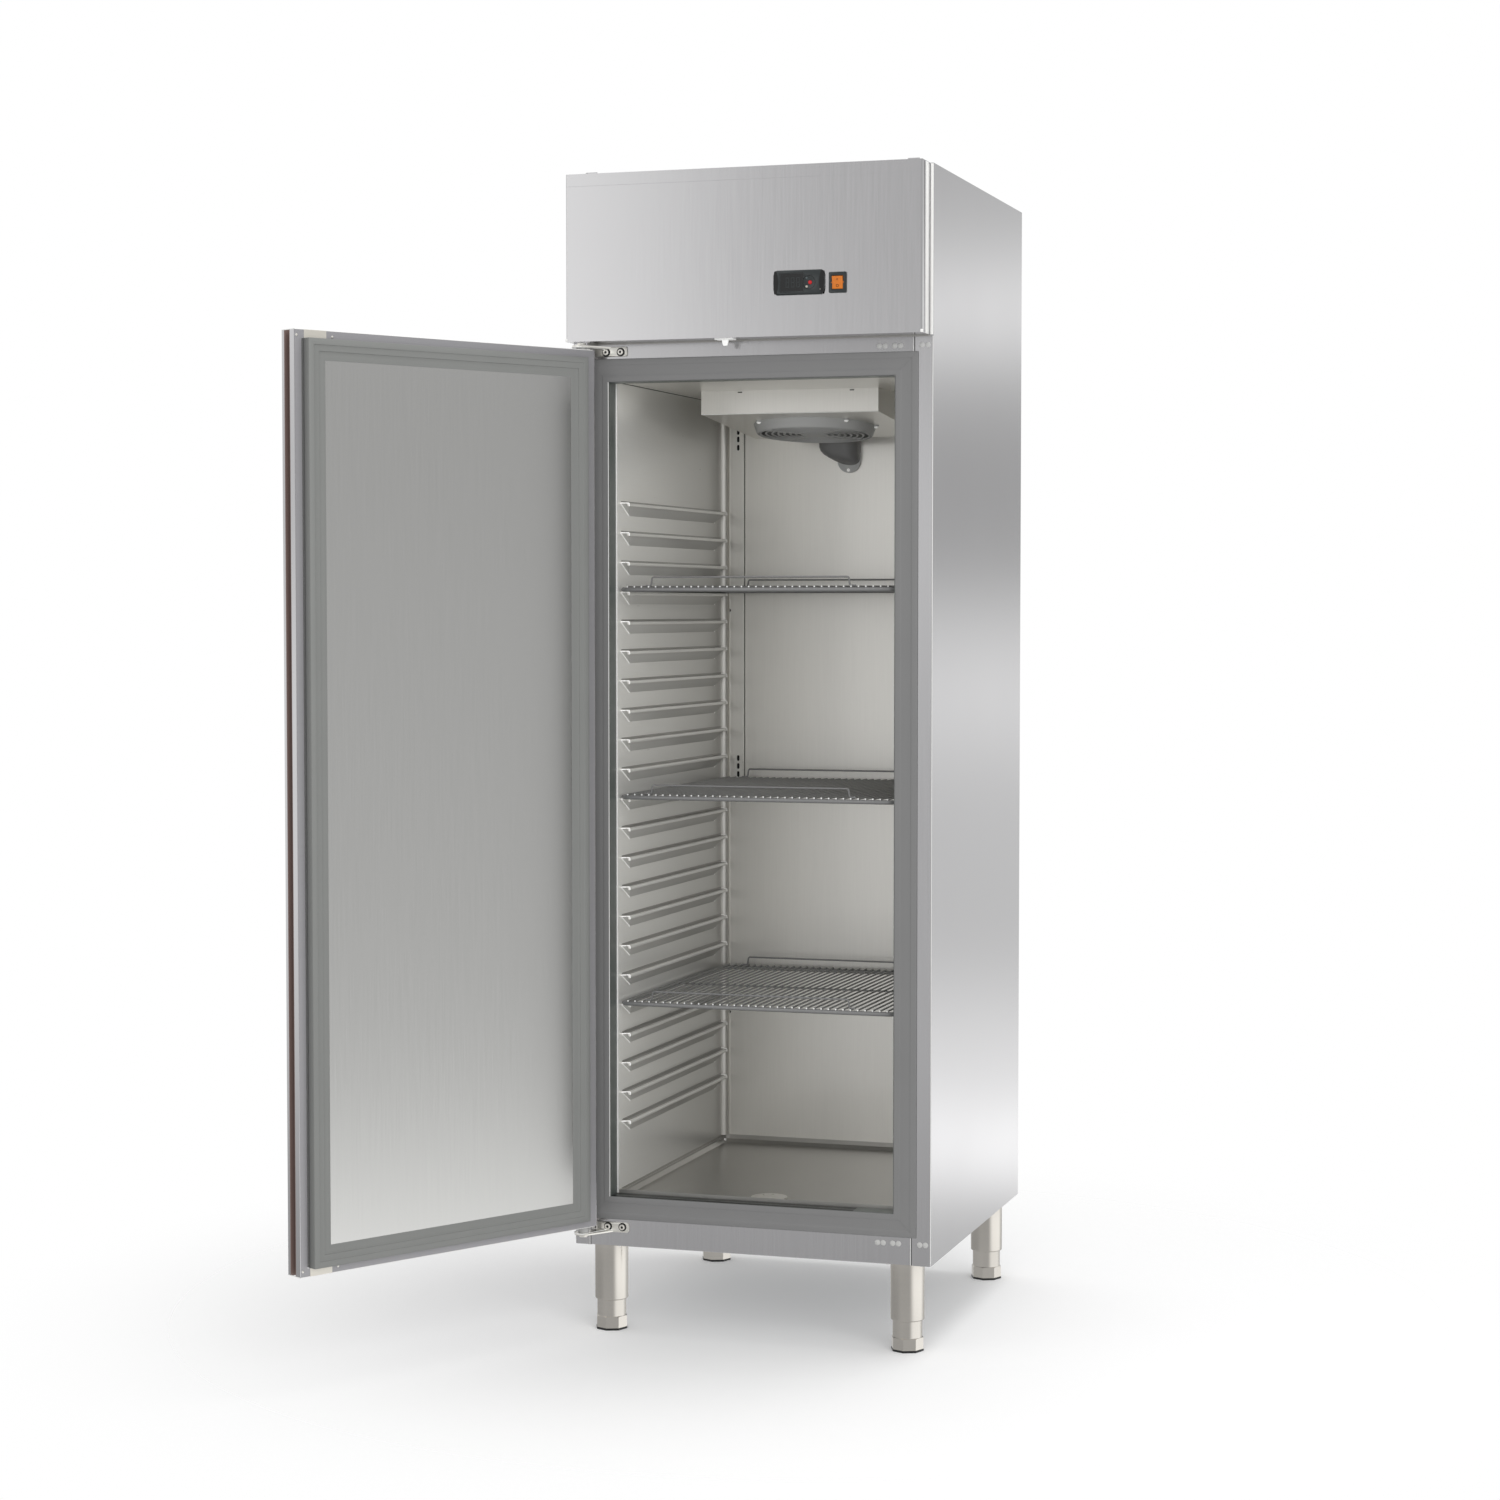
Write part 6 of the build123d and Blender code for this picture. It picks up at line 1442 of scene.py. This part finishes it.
    def add_wall_plugs(self, context):
        """Round dark plugs with a rim on the rear wall."""
        profile = in_mm([(0, -0.2), (2.7, -0.2), (2.7, 0.3), (2.0, 0.5), (1.6, 0.1), (0, 0.1)])
        bm = bmesh.new()
        for height in (455.5 * MM, 1183.0 * MM):
            lathe(bm, profile, (-225.0 * MM, LINER_REAR, height), FORWARD, segments=24)
        piece(context, "wall_plugs", bm, "black_plastic", "cabinet")

    def add_channel(self, context):
        """The slotted channel on the rear wall, a bent strip with a dark sheet of painted shade behind its
        slots and beside its right edge.
        """
        low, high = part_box("probe_channel")
        skin, reach = 0.8 * MM, 6.4 * MM
        bm, slot_shade = bmesh.new(), bmesh.new()
        level = low.z
        for slot in (888.2, 902.6, 917.0, 1474.5, 1489.3, 1502.6):
            centre = slot * MM
            if centre - reach > level:
                block(bm, (low.x, low.y, level), (high.x, low.y + skin, centre - reach))
            self.add_slot(bm, low, high, centre, reach, skin)
            level = centre + reach
        block(bm, (low.x, low.y, level), (high.x, low.y + skin, high.z))
        for x in (low.x, high.x - skin):
            block(bm, (x, low.y + skin, low.z), (x + skin, high.y, high.z))
        piece(context, "slotted_channel", bm, "liner_stainless", "cabinet", "probe_channel", smooth=20)
        for bottom, top in in_mm([(881.0, 924.5), (1466.0, 1511.0)]):
            corner = (low.x + 1.4 * MM, low.y + 2.4 * MM, bottom)
            block(slot_shade, corner, (high.x - 1.4 * MM, low.y + 3.0 * MM, top))
        corner = (high.x - 0.1 * MM, high.y - 2.6 * MM, low.z + 1 * MM)
        block(slot_shade, corner, (high.x + 0.5 * MM, high.y - 0.05 * MM, high.z - 1 * MM))
        piece(context, "channel_slot_shade", slot_shade, "black_plastic", "cabinet")

    def add_slot(self, bm, low, high, centre, reach, skin):
        """A piece of the strip with one long round-ended hole."""
        half_width, half_length, count = 2.4 * MM, 5.2 * MM, 32
        middle, straight = (low.x + high.x) / 2, half_length - half_width
        rings = [[] for _ in range(4)]
        for angle in angles(count, start=pi / count):
            across, up = cos(angle), sin(angle)
            scale = 1 / max(abs(across), abs(up))
            edge = (middle + across * scale * (high.x - low.x) / 2, centre + up * scale * reach)
            hole_z = centre + up * half_width + (straight if up > 0 else -straight)
            hole = (middle + across * half_width, hole_z)
            spots = ((edge, skin), (edge, 0), (hole, 0), (hole, skin))
            for ring, ((x, z), back) in zip(rings, spots):
                ring.append(bm.verts.new((x, low.y + back, z)))
        join_rings(bm, rings, closed=True)

    def add_housing_trim(self, context):
        """The folded lower edge of the evaporator housing with a painted highlight, and the two clips that
        hold it up.
        """
        low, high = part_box("evaporator_housing")
        bottom, inset, half_width = 1514.9 * MM, 0.3 * MM, 3.8 * MM
        bm, clips = bmesh.new(), bmesh.new()
        tube(bm, [(low.x + inset, low.y, bottom), (high.x - inset, low.y, bottom)], 0.9 * MM)
        piece(context, "housing_hem", bm, "liner_stainless", "cabinet", look="bright_edge")
        for x in (-105.7 * MM, 90.6 * MM):
            corner = (x - half_width, low.y - 0.8 * MM, LINER_CEILING - 3.6 * MM)
            opposite = (x + half_width, low.y + 0.2 * MM, LINER_CEILING - 1.8 * MM)
            block(clips, corner, opposite, 0.3 * MM)
        piece(context, "housing_clips", clips, "motor_black", "cabinet")


class DoorOperator(bpy.types.Operator):
    """Make the margins with painted shade, the screws, the end plates and the edges of the door with a
    painted highlight
    """

    bl_idname = "refrigerator.door"
    bl_label = "Door trim"

    def execute(self, context):
        inset, margin, edge, skin = 9.0 * MM, 13.0 * MM, 0.5 * MM, 0.4 * MM
        screw_places, plate_ends = (507.8 * MM, 571.6 * MM), (518.5 * MM, 558.5 * MM)
        screws, plates, beads, margins = bmesh.new(), bmesh.new(), bmesh.new(), bmesh.new()
        for height in (DOOR_BOTTOM + inset, DOOR_TOP - inset):
            for across in screw_places:
                screw_dome(screws, door_spot(across, DOOR_DEPTH, height), DOOR_INWARD, 2.3 * MM, 1.5 * MM)
        for bottom in (DOOR_BOTTOM + skin, DOOR_TOP - margin):
            door_plate(plates, plate_ends, (bottom, bottom + margin - skin), 0.5 * MM)
        for height in (DOOR_BOTTOM + edge, DOOR_TOP - edge):
            right, back = DOOR_WIDTH - edge, DOOR_DEPTH - skin
            line = [door_spot(4 * MM, back, height), door_spot(right, back, height)]
            line.append(door_spot(right, 1 * MM, height))
            tube(beads, rounded_path(line, 1.0 * MM, steps=3), 0.7 * MM, segments=8)
        across, upright = (1 * MM, DOOR_WIDTH - 1 * MM), (DOOR_BOTTOM + margin, DOOR_TOP - margin)
        for widths, heights in (
            (across, (DOOR_BOTTOM + 0.6 * MM, upright[0])),
            (across, (upright[1], DOOR_TOP - 0.6 * MM)),
            ((across[0], margin), upright),
            ((DOOR_WIDTH - margin, across[1]), upright),
        ):
            door_plate(margins, widths, heights, 0.2 * MM)
        piece(context, "door_margins", margins, "satin_stainless", "door", look="margin_grey")
        piece(context, "door_screws", screws, "hinge_steel", "door")
        piece(context, "door_end_plates", plates, "satin_stainless", "door", look="cream_plate")
        piece(context, "door_edge_beads", beads, "satin_stainless", "door", look="bright_edge")
        return {"FINISHED"}


class FrontOperator(bpy.types.Operator):
    """Make the trim of the fascia, the door sensor and the seams of the rails"""

    bl_idname = "refrigerator.front"
    bl_label = "Fascia, sensor and rails"

    def execute(self, context):
        self.add_fascia_trim(context)
        self.add_sensor(context)
        self.add_rail_seams(context)
        return {"FINISHED"}

    def add_fascia_trim(self, context):
        """The fascia's lower sheet, the fold near its top, its side strips and its corner clips; the middle
        side strips and the clips have a painted highlight.
        """
        sheets, edges, lines = bmesh.new(), bmesh.new(), bmesh.new()
        bottom, inset, fold = DECK_TOP + 1.1 * MM, 1.2 * MM, 1860.5 * MM
        corner = (-FASCIA_SIDE + inset, FASCIA_FRONT + inset, bottom)
        block(sheets, corner, (FASCIA_SIDE - inset, BODY_FRONT - 2 * MM, bottom + 0.8 * MM))
        line = [(side * (FASCIA_SIDE - 1 * MM), FASCIA_FRONT + 0.15 * MM, fold) for side in SIDES]
        tube(sheets, line, 0.35 * MM, segments=8)
        # Front, back and height over the side of each upright strip, in millimetres
        strips = ((-353.2, -351.8, 0.2, lines), (-344.0, -328.6, 0.6, edges), (-328.0, -318.4, 0.3, sheets))
        for side in SIDES:
            for front, back, proud, target in strips:
                corner = (side * (FASCIA_SIDE - 0.1 * MM), front * MM, DECK_TOP + 0.6 * MM)
                opposite = (side * (FASCIA_SIDE + proud * MM), back * MM, BODY_TOP - 1 * MM)
                block(target, corner, opposite, 0.05 * MM)
            for front, back in in_mm([(-366.5, -361.5), (-343.0, -337.5)]):
                corner = (side * (FASCIA_SIDE - 2.6 * MM), front, DECK_TOP + 0.2 * MM)
                block(edges, corner, (side * (FASCIA_SIDE + 0.9 * MM), back, DECK_TOP + 5.0 * MM), 0.4 * MM)
        piece(context, "fascia_sheets", sheets, "satin_stainless", "fascia")
        piece(context, "fascia_side_strips", edges, "satin_stainless", "fascia", look="bright_edge")
        piece(context, "fascia_side_gaps", lines, "black_plastic", "fascia")

    def add_sensor(self, context):
        """The white sensor under the fascia, with a painted glow: a thin flange with a tapered tongue."""
        low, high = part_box("door_sensor")
        middle, depth = (low.x + high.x) / 2, (low.y + high.y) / 2
        wide, narrow, chamfer, half_thick = 5.6 * MM, 3.6 * MM, 1 * MM, 1.5 * MM
        bm = bmesh.new()
        block(bm, (low.x, low.y, high.z - 2 * MM), high, 0.4 * MM)
        half = [(-wide, high.z - 1.5 * MM), (-narrow, low.z + chamfer), (-narrow + chamfer, low.z)]
        outline = half + [(-x, z) for x, z in reversed(half)]
        prism(bm, [(middle + x, depth - half_thick, z) for x, z in outline], (0, 2 * half_thick, 0))
        piece(context, "sensor_tongue", bm, "white_plastic", "cabinet", "door_sensor", look="sensor_white")

    def add_rail_seams(self, context):
        """Seams where the rails meet the columns with a painted highlight beside each, a strip of painted
        shadow under the fascia, and the screws under the front edge.
        """
        dark, bright, strip = bmesh.new(), bmesh.new(), bmesh.new()
        front, sunk, edge_round = BODY_FRONT, 0.3 * MM, 0.08 * MM
        top_rail, bottom_rail = (1589.0 * MM, 1613.2 * MM), (145.4 * MM, 189.0 * MM)
        for middle, (bottom, top) in (
            (270.0, top_rail), (268.6, bottom_rail), (-273.4, bottom_rail), (-270.0, top_rail),
        ):
            x = middle * MM
            block(dark, (x - 0.5 * MM, front - 0.12 * MM, bottom), (x + 0.5 * MM, front + sunk, top))
            corner = (x - 1.9 * MM, front - 0.3 * MM, bottom)
            block(bright, corner, (x - 1.3 * MM, front + sunk, top), edge_round)
        # Painted shadow along the top of the rail, under the back edge of the fascia
        corner = (-276.0 * MM, front - 0.5 * MM, DECK_TOP - 2.2 * MM)
        block(strip, corner, (296.0 * MM, front + sunk, DECK_TOP - 0.1 * MM))
        piece(context, "deck_edge_shade", strip, "frame_grey_plastic", "cabinet", look="crease_steel")
        # Painted highlight down the corner of each column, and of each side sheet beside the fascia
        for side in SIDES:
            for width, rise, proud, bottom, top in (
                (0.8, 0.0, 0.15, 150.0 * MM, 1612.0 * MM),
                (4.7, 0.1, 0.6, DECK_TOP + 0.5 * MM, 1879.0 * MM),
            ):
                outer = BODY_SIDE - rise * MM
                corner = (side * (outer - width * MM), front - proud * MM, bottom)
                block(bright, corner, (side * outer, front + 0.4 * MM, top), 0.1 * MM)
        for x in (-278.7, -225.7, 228.1, 283.2):
            screw_dome(bright, (x * MM, front + 6 * MM, BODY_BOTTOM), DOWN, 3.0 * MM, 2.0 * MM)
        piece(context, "rail_seam_gaps", dark, "black_plastic", "cabinet")
        piece(context, "rail_seam_highlights", bright, "satin_stainless", "cabinet", look="bright_edge")


# Sidebar and start


OPERATORS = (
    StudioOperator,
    FinishOperator,
    ShelfOperator,
    LegOperator,
    FanOperator,
    HingeOperator,
    ControlOperator,
    FrameOperator,
    LinerOperator,
    DoorOperator,
    FrontOperator,
)
SETTINGS = {
    "refrigerator_studio": StudioSettings,
    "refrigerator_finishes": FinishSettings,
    "refrigerator_shelves": ShelfSettings,
    "refrigerator_legs": LegSettings,
}


class RefrigeratorPanel(bpy.types.Panel):
    """Lists the pieces of the refrigerator"""

    bl_idname = "VIEW3D_PT_refrigerator"
    bl_label = "Upright refrigerator"
    bl_space_type = "VIEW_3D"
    bl_region_type = "UI"
    bl_category = "Refrigerator"

    def draw(self, context):
        for name, group in SETTINGS.items():
            box = self.layout.box()
            for key in group.__annotations__:
                box.prop(getattr(context.scene, name), key)
        for operator in OPERATORS:
            self.layout.operator(operator.bl_idname)


CLASSES = (*SETTINGS.values(), *OPERATORS, RefrigeratorPanel)


def register():
    for made in CLASSES:
        bpy.utils.register_class(made)
    for name, group in SETTINGS.items():
        setattr(bpy.types.Scene, name, PointerProperty(type=group))


def unregister():
    for name in SETTINGS:
        delattr(bpy.types.Scene, name)
    for made in reversed(CLASSES):
        bpy.utils.unregister_class(made)


def main():
    register()
    bpy.ops.refrigerator.studio()
    bpy.ops.refrigerator.finishes()
    bpy.ops.refrigerator.shelves()
    bpy.ops.refrigerator.legs()
    bpy.ops.refrigerator.fan()
    bpy.ops.refrigerator.hinges()
    bpy.ops.refrigerator.controls()
    bpy.ops.refrigerator.edges()
    bpy.ops.refrigerator.liner()
    bpy.ops.refrigerator.door()
    bpy.ops.refrigerator.front()


if __name__ == "__main__":
    main()
